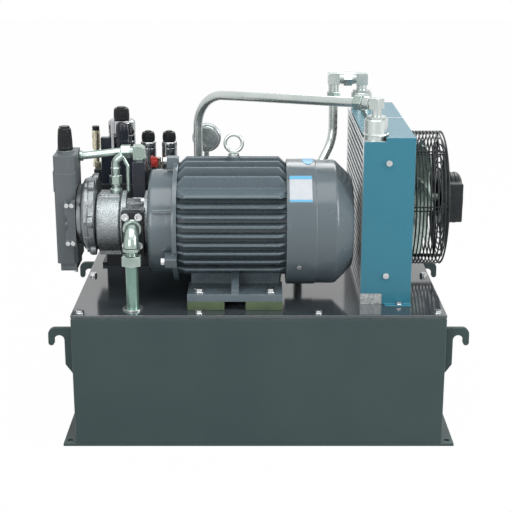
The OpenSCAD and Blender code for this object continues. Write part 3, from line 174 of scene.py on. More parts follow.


# Edge colours in these finishes are partly wear and partly a painted edge highlight
finishes = {
    "tankPaint": finish((0.034, 0.056, 0.057), (0.040, 0.063, 0.063), 5, (0.36, 0.48),
        [(520, 0.10, 0.35), (9, 0.8, 0.10)], wear=(0.16, 0.19, 0.19), spec=0.25),
    "lidPaint": finish((0.036, 0.046, 0.053), (0.046, 0.056, 0.063), 6, (0.07, 0.13),
        [(420, 0.03, 0.12), (7, 0.5, 0.06)], wear=(0.40, 0.46, 0.48), spec=0.6, coat=0.35),
    "motorEnamel": finish((0.098, 0.130, 0.148), (0.090, 0.120, 0.138), 14, (0.24, 0.34), [(420, 0.12, 0.4)],
        wear=(0.42, 0.47, 0.50), spec=0.4),
    # The cowl, bracket, cast silver, flange and regulator finishes darken towards their foot: painted shade
    "cowlEnamel": finish((0.092, 0.118, 0.132), (0.082, 0.108, 0.122), 8, (0.18, 0.28),
        [(500, 0.06, 0.3), (12, 0.8, 0.15)], wear=(0.34, 0.38, 0.40), spec=0.45, under=(430, 330, 0.85)),
    "bracketEnamel": finish((0.100, 0.132, 0.150), (0.086, 0.115, 0.132), 14, (0.14, 0.26),
        [(150, 0.5, 0.35), (40, 0.8, 0.4)], wear=(0.40, 0.45, 0.48), spec=0.6, under=(455, 345, 0.7)),
    "castSilver": finish((0.33, 0.36, 0.37), (0.27, 0.295, 0.305), 110, (0.22, 0.34),
        [(420, 0.9, 1.0), (1000, 0.35, 0.8)], metal=0.75, wear=(0.62, 0.64, 0.65), under=(455, 395, 0.55)),
    "flangeSilver": finish((0.24, 0.26, 0.27), (0.16, 0.175, 0.182), 40, (0.26, 0.42), [(300, 0.35, 0.5)], metal=0.8,
        wear=(0.62, 0.64, 0.65), under=(450, 380, 0.75)),
    "regulatorPaint": finish((0.112, 0.128, 0.137), (0.097, 0.112, 0.121), 12, (0.32, 0.42), [(380, 0.12, 0.4)],
        wear=(0.30, 0.33, 0.34), spec=0.3, under=(470, 380, 0.88)),
    "zincPlate": finish((0.60, 0.65, 0.63), (0.50, 0.55, 0.53), 9, (0.20, 0.30), [(260, 0.03, 0.2)], metal=0.85),
    "zincGreen": finish((0.22, 0.345, 0.30), (0.17, 0.28, 0.24), 9, (0.20, 0.30), [(260, 0.03, 0.2)], metal=0.7),
    "zincPale": finish((0.42, 0.51, 0.47), (0.30, 0.38, 0.345), 30, (0.16, 0.28), [(260, 0.05, 0.3)], metal=0.85,
        wear=(0.84, 0.90, 0.87)),
    "boltSteel": finish((0.70, 0.72, 0.73), (0.46, 0.48, 0.49), 160, (0.18, 0.36), [(420, 0.10, 0.4)], metal=1.0,
        wear=(0.86, 0.86, 0.86)),
    "shaftSteel": finish((0.50, 0.51, 0.52), (0.40, 0.41, 0.42), 80, (0.24, 0.36), [(600, 0.05, 0.3)], metal=1.0),
    "valveBlack": finish((0.016, 0.019, 0.021), (0.024, 0.027, 0.029), 30, (0.28, 0.44), [(450, 0.08, 0.4)],
        wear=(0.14, 0.15, 0.16), spec=0.2),
    "navyPaint": finish((0.010, 0.013, 0.022), (0.015, 0.019, 0.028), 30, (0.16, 0.26), [(450, 0.05, 0.3)],
        wear=(0.10, 0.12, 0.16), spec=0.35),
    "blackPlastic": finish((0.008, 0.010, 0.011), (0.011, 0.013, 0.014), 60, (0.20, 0.30), [(900, 0.03, 0.2)],
        wear=(0.05, 0.052, 0.055), spec=0.22),
    # Chrome: its second colour is the dark stripe of painted reflection bands
    "chromePlate": finish((0.66, 0.67, 0.69), (0.10, 0.11, 0.12), 20, (0.08, 0.16), [(300, 0.03, 0.2)], metal=1.0,
        bands=7),
    "tealPaint": finish((0.026, 0.156, 0.217), (0.028, 0.162, 0.225), 4, (0.22, 0.30),
        [(520, 0.05, 0.2), (8, 0.5, 0.06)], wear=(0.30, 0.50, 0.57), spec=0.4),
    "millAluminium": finish((0.50, 0.52, 0.52), (0.34, 0.36, 0.36), 90, (0.26, 0.46), [(330, 0.25, 0.5)], metal=0.95,
        wear=(0.80, 0.80, 0.80)),
    "roughAluminium": finish((0.74, 0.76, 0.76), (0.46, 0.49, 0.50), 170, (0.22, 0.44),
        [(230, 1.2, 0.8), (620, 0.3, 0.5)], metal=0.85, wear=(0.9, 0.9, 0.9)),
    "barAluminium": finish((0.70, 0.69, 0.64), (0.46, 0.44, 0.37), 12, (0.28, 0.42), [(300, 0.15, 0.4)], metal=0.95,
        wear=(0.80, 0.80, 0.78)),
    # Fins: far darker than their aluminium, painted shade of the gaps between the core's bars
    "finAluminium": finish((0.11, 0.11, 0.095), (0.055, 0.052, 0.042), 60, (0.34, 0.50), [(500, 0.10, 0.4)],
        metal=0.8),
    "guardBlack": finish((0.012, 0.015, 0.017), (0.020, 0.024, 0.026), 60, (0.24, 0.38), [(700, 0.03, 0.3)],
        spec=0.25),
    "fanBlade": finish((0.62, 0.74, 0.67), (0.50, 0.62, 0.55), 25, (0.20, 0.32), [(400, 0.05, 0.3)], metal=0.25,
        wear=(0.80, 0.86, 0.82)),
    "brassPlain": finish((0.74, 0.70, 0.55), (0.40, 0.37, 0.26), 150, (0.18, 0.32), [(400, 0.12, 0.5)], metal=0.9,
        wear=(0.90, 0.88, 0.78)),
    "padGreen": finish((0.090, 0.125, 0.066), (0.066, 0.095, 0.055), 40, (0.40, 0.56), [(300, 0.25, 0.5)],
        wear=(0.20, 0.25, 0.15), spec=0.3),
    "sealRubber": finish((0.018, 0.018, 0.019), (0.028, 0.028, 0.029), 60, (0.55, 0.70), [(600, 0.10, 0.5)]),
    "signalRed": finish((0.50, 0.045, 0.035), (0.42, 0.035, 0.03), 60, (0.30, 0.42), [(600, 0.04, 0.3)], coat=0.3),
    "windingCopper": finish((0.50, 0.25, 0.13), (0.36, 0.17, 0.09), 200, (0.35, 0.5), [(400, 0.3, 0.6)], metal=0.8),
    "gaugeSteel": finish((0.42, 0.46, 0.46), (0.30, 0.33, 0.33), 40, (0.22, 0.34), [(420, 0.08, 0.35)], metal=0.6,
        wear=(0.70, 0.72, 0.72)),
    "sightWindow": finish((0.48, 0.52, 0.48), (0.40, 0.44, 0.40), 30, (0.08, 0.16), [(200, 0.03, 0.2)], coat=1.0),
    "paperWhite": finish((0.44, 0.47, 0.50), (0.40, 0.43, 0.46), 50, (0.35, 0.5), [(800, 0.02, 0.2)]),
    "labelBlue": finish((0.09, 0.33, 0.52), (0.10, 0.36, 0.56), 50, (0.30, 0.42), [(800, 0.02, 0.2)]),
}
coatRoughness = 0.12
edgeRadius = 0.0012


def noise(tree, place, scale, detail, roughness=0.5):
    inputs = {"Vector": place, "Scale": scale, "Detail": detail, "Roughness": roughness}
    return addNode(tree, "ShaderNodeTexNoise", inputs).outputs["Fac"]


def mapped(tree, value, low, high, start=0.0, end=1.0, **settings):
    return addNode(tree, "ShaderNodeMapRange", {0: value, 1: low, 2: high, 3: start, 4: end}, **settings).outputs[0]


def blend(tree, factor, one, other, **settings):
    one, other = [(*c, 1) if isinstance(c, tuple) else c for c in (one, other)]
    return addNode(tree, "ShaderNodeMix", {"Factor": factor, 6: one, 7: other}, data_type="RGBA",
                   **settings).outputs[2]


# One procedural material: blotches between two colours, uneven gloss, layered bumps, worn edges that also carry a
# painted edge highlight, painted shade towards the foot and painted reflection stripes where asked
def makeFinish(name):
    look = finishes[name]
    material = bpy.data.materials.new(name)
    material.use_nodes = True
    tree = material.node_tree
    shader = tree.nodes["Principled BSDF"]
    place = addNode(tree, "ShaderNodeTexCoord").outputs["Object"]
    # Painted reflection: stripes of a bright and a dark colour around the plated body's axis stand for reflected
    # surroundings
    if look.bands:
        around = addNode(tree, "ShaderNodeUVMap", uv_map="around").outputs[0]
        turned = addNode(tree, "ShaderNodeSeparateXYZ", {0: around}).outputs[0]
        wave = addNode(tree, "ShaderNodeTexNoise", {"W": turned, "Scale": look.bands * 2.0, "Detail": 2.0,
                                                    "Roughness": 0.7}, noise_dimensions="1D")
        share = mapped(tree, wave.outputs["Fac"], 0.46, 0.56)
    else:
        share = mapped(tree, noise(tree, place, look.patch, 5.0, 0.6), 0.36, 0.64)
    colour = blend(tree, share, look.colour, look.shade)
    # Edge colour along the rounded edges: partly rubbed wear, partly a painted edge highlight
    if look.wear:
        rounded = addNode(tree, "ShaderNodeBevel", {"Radius": edgeRadius}, samples=4).outputs[0]
        face = addNode(tree, "ShaderNodeNewGeometry").outputs["Normal"]
        alike = addNode(tree, "ShaderNodeVectorMath", {0: rounded, 1: face}, operation="DOT_PRODUCT").outputs["Value"]
        edge = mapped(tree, alike, 0.985, 0.87, 0.0, 0.85)
        some = mapped(tree, noise(tree, place, 180.0, 3.0), 0.25, 0.5)
        colour = blend(tree, calc(tree, "MULTIPLY", edge, some), colour, look.wear)
    # Painted shade: the colour darkens towards the foot between two heights, standing for the shaded lower half
    if look.under:
        top, foot, kept = look.under
        height = addNode(tree, "ShaderNodeSeparateXYZ", {0: place}).outputs[2]
        dim = mapped(tree, height, foot * mm, top * mm, kept, 1.0, interpolation_type="SMOOTHSTEP")
        colour = blend(tree, 1.0, colour, dim, blend_type="MULTIPLY")
    tree.links.new(colour, shader.inputs["Base Color"])
    gloss = noise(tree, place, look.patch * 3.1, 4.0)
    tree.links.new(mapped(tree, gloss, 0.3, 0.7, *look.rough), shader.inputs["Roughness"])
    for key, value in (("Metallic", look.metal), ("Specular IOR Level", look.spec), ("Coat Weight", look.coat),
                       ("Coat Roughness", coatRoughness)):
        shader.inputs[key].default_value = value
    normal = None
    for scale, height, strength in look.bumps:
        inputs = {"Height": noise(tree, place, scale, 2.0), "Strength": strength, "Distance": height * mm}
        if normal:
            inputs["Normal"] = normal
        normal = addNode(tree, "ShaderNodeBump", inputs).outputs[0]
    tree.links.new(normal, shader.inputs["Normal"])
    return material


paint = {name: makeFinish(name) for name in finishes}
finishOfSlot = {
    "tank_paint": "tankPaint", "motor_paint": "motorEnamel", "pad_paint": "padGreen", "cast_silver": "castSilver",
    "regulator_grey": "regulatorPaint", "zinc": "zincPlate", "bright_steel": "boltSteel",
    "shaft_steel": "shaftSteel", "valve_black": "valveBlack", "black_plastic": "blackPlastic",
    "gasket_rubber": "sealRubber", "brass": "brassPlain", "winding": "windingCopper", "teal_paint": "tealPaint",
    "aluminium": "millAluminium", "guard_wire": "guardBlack", "fan_metal": "fanBlade",
    "pointer_red": "signalRed", "gauge_steel": "gaugeSteel", "window": "sightWindow",
}
finishOfNode = {"tank_lid": "lidPaint", "fan_cowl": "cowlEnamel", "pressure_block": "navyPaint",
                "pump_flange": "flangeSilver", "relief_valve": "chromePlate", "cartridge_valves": "chromePlate",
                "drive_end_bracket": "bracketEnamel", "suction_tube": "zincGreen", "union_nuts": "zincPale",
                "solenoid_valve": "navyPaint", "eye_bolt": "zincPlate", "lid_gasket": "tankPaint"}


def finishFor(node):
    return paint[finishOfNode.get(node, finishOfSlot[slotOf[node]])]


for name, piece in nodes.items():
    piece.data.materials.clear()
    piece.data.materials.append(finishFor(name))
print("finishes ready")

# Mesh tools. Shapes are drawn in millimetres and become metres when they are done.
mergeReach = 2e-6
flatAngle = 0.6
sharpAngle = 38
allSmooth = 180


def frameAlong(origin, direction):
    turn = Vector(direction).normalized().to_track_quat("Z", "Y").to_matrix().to_4x4()
    return Matrix.Translation(Vector(origin)) @ turn


def frameOf(*axes):
    return Matrix([Vector(axis) for axis in axes]).transposed().to_4x4()


# Direction across the X axis, from Y towards Z
def spoke(angle):
    return Vector((0, cos(angle), sin(angle)))


# Plane seen from the front: its second direction points up and its third towards the front
def facingFront(place):
    return Matrix.Translation(place) @ frameOf(right, up, towards)


# Points of a quarter circle about a middle, from a given angle
def quarter(x, y, radius, steps, start=0.0):
    turns = [start + pi / 2 * k / steps for k in range(steps + 1)]
    return [(x + radius * cos(a), y + radius * sin(a)) for a in turns]


def sharpEdges(body, angle):
    limit = radians(angle)
    return [e for e in body.edges if e.is_manifold and e.calc_face_angle(0) > limit]


def bevel(body, edges, width, segments, clamp):
    bmesh.ops.bevel(body, geom=edges, offset=width, offset_type="OFFSET", segments=segments, profile=0.5,
                    affect="EDGES", clamp_overlap=clamp)


def markEdges(body, angle=sharpAngle):
    for face in body.faces:
        face.smooth = True
    for edge in body.edges:
        edge.smooth = edge.is_manifold and edge.calc_face_angle(0) < radians(angle)


def meshOf(body, name):
    mesh = bpy.data.meshes.new(name)
    body.to_mesh(mesh)
    body.free()
    return mesh


def camelCase(node):
    words = node.split("_")
    return words[0] + "".join(w.capitalize() for w in words[1:])


# Piece that stands for a CAD node, or an added one
def addPiece(mesh, finishNames, node=None, name=None, slot=None, weighted=True):
    piece = bpy.data.objects.new(name or camelCase(node), mesh)
    bpy.context.collection.objects.link(piece)
    mesh.materials.clear()
    for finishName in [finishNames] if isinstance(finishNames, str) else finishNames:
        mesh.materials.append(paint[finishName])
    if weighted:
        modifier = piece.modifiers.new("evenShading", "WEIGHTED_NORMAL")
        modifier.keep_sharp = True
    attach(piece, bodyOf[node] if node else "unit")
    if node:
        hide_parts(node)


class Shape:
    def __init__(self):
        self.body = bmesh.new()
        self.finish = 0

    def keep(self, verts, matrix=None):
        if matrix:
            bmesh.ops.transform(self.body, matrix=matrix, verts=verts)
        for face in {f for v in verts for f in v.link_faces}:
            face.material_index = self.finish

    # Faces from ring to ring of points, with flat ends unless the rings close on themselves
    def skin(self, rings, matrix=None, closed=False):
        rings = [[self.body.verts.new(point) for point in ring] for ring in rings]
        for low, high in zip(rings, rings[1:] + (rings[:1] if closed else [])):
            steps = max(len(low), len(high))
            for i in range(steps):
                j = (i + 1) % steps
                corners = [low[i % len(low)], low[j % len(low)], high[j % len(high)], high[i % len(high)]]
                corners = list(dict.fromkeys(corners))
                if len(corners) > 2:
                    self.body.faces.new(corners)
        for ring in [] if closed else [rings[0][::-1], rings[-1]]:
            if len(ring) > 1:
                self.body.faces.new(ring)
        self.keep([v for ring in rings for v in ring], matrix)

    # Thin sheet with two sides, each a grid of points, and a rim between them
    def sheet(self, sides):
        low, high = grids = [[[self.body.verts.new(point) for point in row] for row in side] for side in sides]
        m, n = len(low) - 1, len(low[0]) - 1
        for grid in grids:
            for i in range(m):
                for j in range(n):
                    self.body.faces.new([grid[i][j], grid[i][j + 1], grid[i + 1][j + 1], grid[i + 1][j]])
        rim = ([(i, 0) for i in range(m)] + [(m, j) for j in range(n)] + [(i, n) for i in range(m, 0, -1)]
               + [(0, j) for j in range(n, 0, -1)])
        for (a, b), (c, d) in zip(rim, rim[1:] + rim[:1]):
            self.body.faces.new([low[a][b], low[c][d], high[c][d], high[a][b]])

    def cube(self, matrix):
        self.keep(bmesh.ops.create_cube(self.body, size=1)["verts"], matrix)

    def block(self, low, high):
        size = [b - a for a, b in zip(low, high)]
        middle = [(a + b) / 2 for a, b in zip(low, high)]
        self.cube(Matrix.Translation(middle) @ Matrix.Diagonal((*size, 1)))

    # Solid of revolution about a direction, from (radius, height) pairs
    def turn(self, origin, direction, profile, steps=48):
        angles = [tau * i / steps for i in range(steps)]
        self.skin([[(r * cos(a), r * sin(a), z) for a in angles] if r > 1e-6 else [(0, 0, z)]
                   for r, z in profile], frameAlong(origin, direction))

    # The same profile at several places
    def turnEach(self, places, direction, profile, steps):
        for place in places:
            self.turn(place, direction, profile, steps)

    def rod(self, origin, direction, radius, length, steps):
        self.turn(origin, direction, [(radius, 0), (radius, length)], steps)

    def hexagon(self, origin, direction, flats, height):
        self.rod(origin, direction, flats / sqrt(3), height, 6)

    # Round bar along a line of points
    def sweep(self, points, radius, sides):
        points = [Vector(p) for p in points]
        last = len(points) - 1
        ahead = [(points[min(i + 1, last)] - points[max(i - 1, 0)]).normalized() for i in range(last + 1)]
        side = ahead[0].orthogonal().normalized()
        rings = []
        for point, way in zip(points, ahead):
            side = (side - way * side.dot(way)).normalized()
            other = way.cross(side)
            rings.append([point + radius * (side * cos(tau * k / sides)
                                            + other * sin(tau * k / sides)) for k in range(sides)])
        self.skin(rings)

    # Closed outline in a plane, given thickness along the third direction
    def slab(self, outline, matrix, thickness):
        self.skin([[(x, y, z) for x, y in outline] for z in (0, thickness)], matrix)

    def soften(self, width, segments=2, angle=35):
        bevel(self.body, sharpEdges(self.body, angle), width, segments, True)

    def done(self, finishNames, node=None, name=None, slot=None, weighted=True, sharp=sharpAngle, more=None):
        bmesh.ops.recalc_face_normals(self.body, faces=self.body.faces)
        bmesh.ops.scale(self.body, vec=(mm, mm, mm), verts=self.body.verts)
        markEdges(self.body, sharp)
        if more:
            self.body.from_mesh(more)
        addPiece(meshOf(self.body, name or camelCase(node)), finishNames, node, name, slot, weighted)


# Copy of a CAD node with its doubles merged and its edges rounded, which stands for that node
def dress(node, width, sideFinish=None):
    body = bmesh.new()
    body.from_mesh(nodes[node].data)
    bmesh.ops.remove_doubles(body, verts=body.verts, dist=mergeReach)
    bmesh.ops.dissolve_limit(body, angle_limit=radians(flatAngle), verts=body.verts, edges=body.edges)
    if width:
        edges = [e for e in sharpEdges(body, 35) if e.calc_length() > width * mm]
        bevel(body, edges, width * mm, 2, False)
        bmesh.ops.remove_doubles(body, verts=body.verts, dist=mergeReach)
    markEdges(body)
    mesh = meshOf(body, node)
    finishNames = [finishFor(node).name]
    if sideFinish:
        finishNames.append(sideFinish)
        for face in mesh.polygons:
            face.material_index = int(abs(face.normal.z) < 0.3)
    addPiece(mesh, finishNames, node)


# Path with each corner rounded to the bend's radius
def rounded(points, bend, steps):
    points = [Vector(p) for p in points]
    path = [points[0]]
    for before, corner, after in zip(points, points[1:], points[2:]):
        into, out = (corner - before).normalized(), (after - corner).normalized()
        angle = into.angle(out)
        middle = corner + (out - into).normalized() * bend / cos(angle / 2)
        arm = (corner - into * bend * tan(angle / 2) - middle)
        for k in range(steps + 1):
            a = angle * k / steps
            path.append(middle + arm * cos(a) + into * bend * sin(a))
    return path + [points[-1]]


# Geometry Nodes helpers: a tree's inputs are made from the values it's given when it runs
def newTree(name, values):
    tree = bpy.data.node_groups.new(name, "GeometryNodeTree")
    tree.is_modifier = True
    for way in ("OUTPUT", "INPUT"):
        tree.interface.new_socket(name="Geometry", in_out=way, socket_type="NodeSocketGeometry")
    for label, value in values.items():
        kind = "NodeSocketInt" if isinstance(value, int) else "NodeSocketFloat"
        tree.interface.new_socket(name=label, in_out="INPUT", socket_type=kind)
    return tree, addNode(tree, "NodeGroupInput").outputs


def geometry(tree, kind, inputs=None):
    return addNode(tree, "GeometryNode" + kind, inputs).outputs[0]


def vector(tree, x=0.0, y=0.0, z=0.0):
    return addNode(tree, "ShaderNodeCombineXYZ", {0: x, 1: y, 2: z}).outputs[0]


def endTree(tree, made, material):
    solid = geometry(tree, "RealizeInstances", {"Geometry": made})
    coloured = geometry(tree, "SetMaterial", {"Geometry": solid, "Material": material})
    addNode(tree, "NodeGroupOutput", {"Geometry": coloured})


def runTree(name, tree, values):
    host = bpy.data.objects.new(name + "Host", bpy.data.meshes.new(name + "Host"))
    bpy.context.collection.objects.link(host)
    modifier = host.modifiers.new("nodes", "NODES")
    modifier.node_group = tree
    for item in tree.interface.items_tree:
        if item.item_type == "SOCKET" and item.in_out == "INPUT" and item.name in values:
            modifier[item.identifier] = values[item.name]
    bpy.context.view_layer.update()
    graph = bpy.context.evaluated_depsgraph_get()
    result = bpy.data.meshes.new_from_object(host.evaluated_get(graph))
    result.name = name
    bpy.data.objects.remove(host)
    return result


# Wire guard of the cooler's fan: hoops, face rings and bent stays
guard = Sizes(middle=Vector((0, 22, 450)), back=305, end=388.6, radius=142.6, wire=1.65, hoops=12, rings=7,
              firstRing=62.0, ringPitch=12.8, stays=7, turn=-16, twins=(-1.6, 1.6), tabs=4, tabReach=140)


def wireRings(tree, points, radius):
    circle = geometry(tree, "CurvePrimitiveCircle", {"Resolution": 72, "Radius": 1.0})
    laid = geometry(tree, "InstanceOnPoints", {"Points": points, "Instance": circle, "Rotation": (0, pi / 2, 0),
                                               "Scale": vector(tree, radius, radius, radius)})
    return geometry(tree, "RealizeInstances", {"Geometry": laid})


def makeGuardWires():
    values = {"Radius": guard.radius - guard.wire, "Depth": guard.end - guard.back - guard.wire * 2,
              "Wire": guard.wire, "Hoops": guard.hoops, "Rings": guard.rings, "First Ring": guard.firstRing,
              "Ring Pitch": guard.ringPitch, "Stays": guard.stays}
    tree, given = newTree("guardWires", values)
    radius, depth, wire = given["Radius"], given["Depth"], given["Wire"]
    profile = geometry(tree, "CurvePrimitiveCircle", {"Resolution": 8, "Radius": wire})
    pitch = calc(tree, "DIVIDE", depth, calc(tree, "SUBTRACT", given["Hoops"], 1.0))
    line = geometry(tree, "MeshLine", {"Count": given["Hoops"], "Offset": vector(tree, pitch)})
    dots = geometry(tree, "MeshLine", {"Count": given["Rings"], "Start Location": vector(tree, depth),
                                       "Offset": (0, 0, 0)})
    order = geometry(tree, "InputIndex")
    grown = calc(tree, "MULTIPLY_ADD", order, given["Ring Pitch"], given["First Ring"])
    raised = calc(tree, "SUBTRACT", calc(tree, "SUBTRACT", radius, wire), wire)
    ahead = calc(tree, "ADD", depth, calc(tree, "MULTIPLY", wire, -2.0))
    start, corner = vector(tree, 0.0, 0.0, raised), vector(tree, ahead, 0.0, raised)
    foot = vector(tree, ahead, 0.0, given["First Ring"])
    stay = addNode(tree, "GeometryNodeJoinGeometry")
    for begin, end in ((start, corner), (corner, foot)):
        tree.links.new(geometry(tree, "CurvePrimitiveLine", {0: begin, 1: end}), stay.inputs[0])
    spokes = geometry(tree, "MeshLine", {"Count": given["Stays"], "Offset": (0, 0, 0)})
    share = calc(tree, "DIVIDE", tau, given["Stays"])
    everything = addNode(tree, "GeometryNodeJoinGeometry")
    for socket in (wireRings(tree, line, radius), wireRings(tree, dots, grown)):
        tree.links.new(socket, everything.inputs[0])
    for shift in guard.twins:
        turned = calc(tree, "MULTIPLY_ADD", order, share, radians(guard.turn + shift))
        stays = geometry(tree, "InstanceOnPoints", {"Points": spokes, "Instance": stay.outputs[0],
                                                    "Rotation": vector(tree, turned)})
        tree.links.new(geometry(tree, "RealizeInstances", {"Geometry": stays}), everything.inputs[0])
    wires = geometry(tree, "CurveToMesh", {"Curve": everything.outputs[0], "Profile Curve": profile,
                                           "Fill Caps": True})
    endTree(tree, geometry(tree, "SetShadeSmooth", {"Geometry": wires}), paint["guardBlack"])
    return runTree("fanGuard", tree, values)


def makeGuard():
    wires = makeGuardWires()
    shift = guard.middle + Vector((guard.back + guard.wire, 0, 0))
    wires.transform(Matrix.Scale(mm, 4) @ Matrix.Translation(shift))
    shape = Shape()
    shape.turn(guard.middle + Vector((guard.end - 3.4, 0, 0)), right,
               [(43, 0), (60.5, 0), (60.5, 3.2), (43, 3.2), (43, 0)], 72)
    arch = [(7 * cos(t), 9 + 6 * sin(t)) for t in [pi * j / 8 for j in range(1, 8)]]
    swap = Matrix(((0, 0, 1, 0), (1, 0, 0, 0), (0, 1, 0, 0), (0, 0, 0, 1)))
    for k in range(guard.tabs):
        a = radians(45 + 90 * k)
        place = Matrix.Translation(guard.middle + Vector((guard.back, 0, 0)) + spoke(a) * guard.tabReach)
        side = Vector((0, -sin(a), cos(a)))
        shape.slab([(-7, 0), (7, 0), (7, 9)] + arch + [(-7, 9)],
                   place @ frameOf(right, side, spoke(a)) @ swap, 2)
    shape.done("guardBlack", "fan_guard", weighted=False, more=wires)


# Axial fan: domed hub with cambered, twisted blades
fan = Sizes(x=321, hub=43.6, length=41.6, tip=124.4, blades=7, rootAngle=42, tipAngle=24, rootChord=50, tipChord=78,
            camber=0.09, thick=1.6, halfDepth=20.6, middle=20.8, root=2, sweep=0.16, across=12, along=10)


# Point of a blade: t runs from root to tip, s across the blade, side through its thickness
def bladePoint(base, t, s, side):
    inner = fan.hub - fan.root
    span = fan.tip - fan.hub + fan.root
    pitch = radians(fan.rootAngle + t * (fan.tipAngle - fan.rootAngle))
    chord = fan.rootChord + t * (fan.tipChord - fan.rootChord)
    edge = 1 - 0.22 * t * t * (2 * abs(s)) ** 6
    bow = fan.camber * chord * (1 - 4 * s * s)
    x = s * chord * sin(pitch) + bow * cos(pitch) + side * fan.thick
    arc = s * chord * cos(pitch) - bow * sin(pitch)
    r = inner + t * span * edge
    out = r * spoke(base + fan.sweep * t * t + arc / max(r, fan.hub))
    return Vector((fan.x + fan.middle + max(-fan.halfDepth, min(fan.halfDepth, x)), *(guard.middle + out).yz))


def makeFan():
    hub, length = fan.hub, fan.length
    shape = Shape()
    shape.turn((fan.x, *guard.middle.yz), right, [
        (0, 0), (hub - 8, 0), (hub - 3, 1.2), (hub, 4), (hub, length), (hub - 3, length), (hub - 4, 14), (9, 14),
        (9, length), (7.9, length), (7.9, 94), (0, 94)], 64)
    for blade in range(fan.blades):
        base = tau * blade / fan.blades
        shape.sheet([[[bladePoint(base, i / fan.along, j / fan.across - 0.5, side) for j in range(fan.across + 1)]
                      for i in range(fan.along + 1)] for side in (-0.5, 0.5)])
    shape.done("fanBlade", "cooling_fan")


# Fan cowl: two drawn sections with a step between them, a cone and a ringed grille
cowl = Sizes(y=-105, z=430, start=56.2, step=114, straight=155, end=188.8, radius=127.8, face=93.8, lip=5, sheet=2,
             slots=5, firstSlot=20, slotPitch=14, slotWidth=7, spokes=6)


def makeCowl():
    r, s, t, face = cowl.radius, cowl.start, cowl.sheet, cowl.face
    step, cone, end = cowl.step - s, cowl.straight - s, cowl.end - s
    shape = Shape()
    outer = [(r, 0), (r, step - 2), (r - 0.5, step - 0.8), (r - 1.6, step), (r - 1.6, step + 1.5),
             (r - 1.7, cone - 5), (r - 2.4, cone - 2), (r - 4.2, cone + 1.5)]
    outer += [(r - 6 - w * (r - face - 9), cone + 3 + w * (end - cone - 8)) for w in [k / 8 for k in range(9)]]
    outer += [(face + 0.8, end - 3), (face - 2.5, end - 0.8), (face - cowl.lip, end)]
    inner = [(face - cowl.lip, end - t), (r - 8 - t, cone - 1), (r - 1.8 - t, cone - 6), (r - 1.8 - t, 0)]
    shape.turn((s, cowl.y, cowl.z), right, outer + inner + [outer[0]], 128)
    grille = Vector((cowl.end - t, cowl.y, cowl.z))
    shape.turn(grille, right, [(0, 0), (cowl.firstSlot, 0), (cowl.firstSlot, t), (0, t)], 96)
    for k in range(cowl.slots):
        into = cowl.firstSlot + cowl.slotPitch * k + cowl.slotWidth
        out = into - cowl.slotWidth + cowl.slotPitch if k < cowl.slots - 1 else face - cowl.lip
        shape.turn(grille, right, [(into, 0), (out, 0), (out, t), (into, t), (into, 0)], 96)
    for k in range(cowl.spokes):
        a = tau * k / cowl.spokes
        shape.slab([(-3, -36), (3, -36), (3, 36), (-3, 36)], Matrix.Translation(grille + spoke(a) * 52)
                   @ frameOf(spoke(a + pi / 2), spoke(a), right), t - 0.2)
    shape.done("cowlEnamel", "fan_cowl")


# Curved sheet on the cowl's outside, given its own finish; angles are measured from the top to the front
def cowlSticker(name, x0, x1, a0, a1, lift, finishName, oval=False):
    columns, rows, thick = 24, 16, 0.25

    def place(i, j, level):
        u, v = 2 * i / columns - 1, 2 * j / rows - 1
        if oval:
            u, v = u * sqrt(max(0, 1 - v * v / 2)), v * sqrt(max(0, 1 - u * u / 2))
        a = radians((a0 + a1) / 2 + v * (a1 - a0) / 2)
        r = cowl.radius + lift + level
        return (x0 + x1) / 2 + u * (x1 - x0) / 2, cowl.y - r * sin(a), cowl.z + r * cos(a)

    shape = Shape()
    shape.sheet([[[place(i, j, level) for j in range(rows + 1)] for i in range(columns + 1)] for level in (0, thick)])
    shape.done(finishName, name=name, slot="motor_paint", weighted=False, sharp=allSmooth)


# Knob with grip ribs: the radius swells at each rib between the given heights
def ribbedCap(shape, origin, profile, ribs, depth, low, high):
    steps = ribs * 6
    rings = []
    for radius, height in profile:
        ring = []
        for i in range(steps):
            a = tau * i / steps
            r = radius - (depth if low <= height <= high and i % 6 in (2, 3, 4) else 0)
            ring.append((origin[0] + r * cos(a), origin[1] + r * sin(a), origin[2] + height))
        rings.append(ring)
    shape.skin(rings)


# Places that several pieces share: row of valves, pump's axis, cooler's ports, top of the inlet tube
valveRow = 128
reliefX = -300
cartridgesX = (-242.5, -196.5)
pumpMiddle = Vector((0, -105, 446))
frontPort, rearPort, dropTop = Vector((229, -165, 682)), Vector((229, 180, 682)), Vector((167, 180, 682))
inletTop = Vector((-132.5, 118, 657))


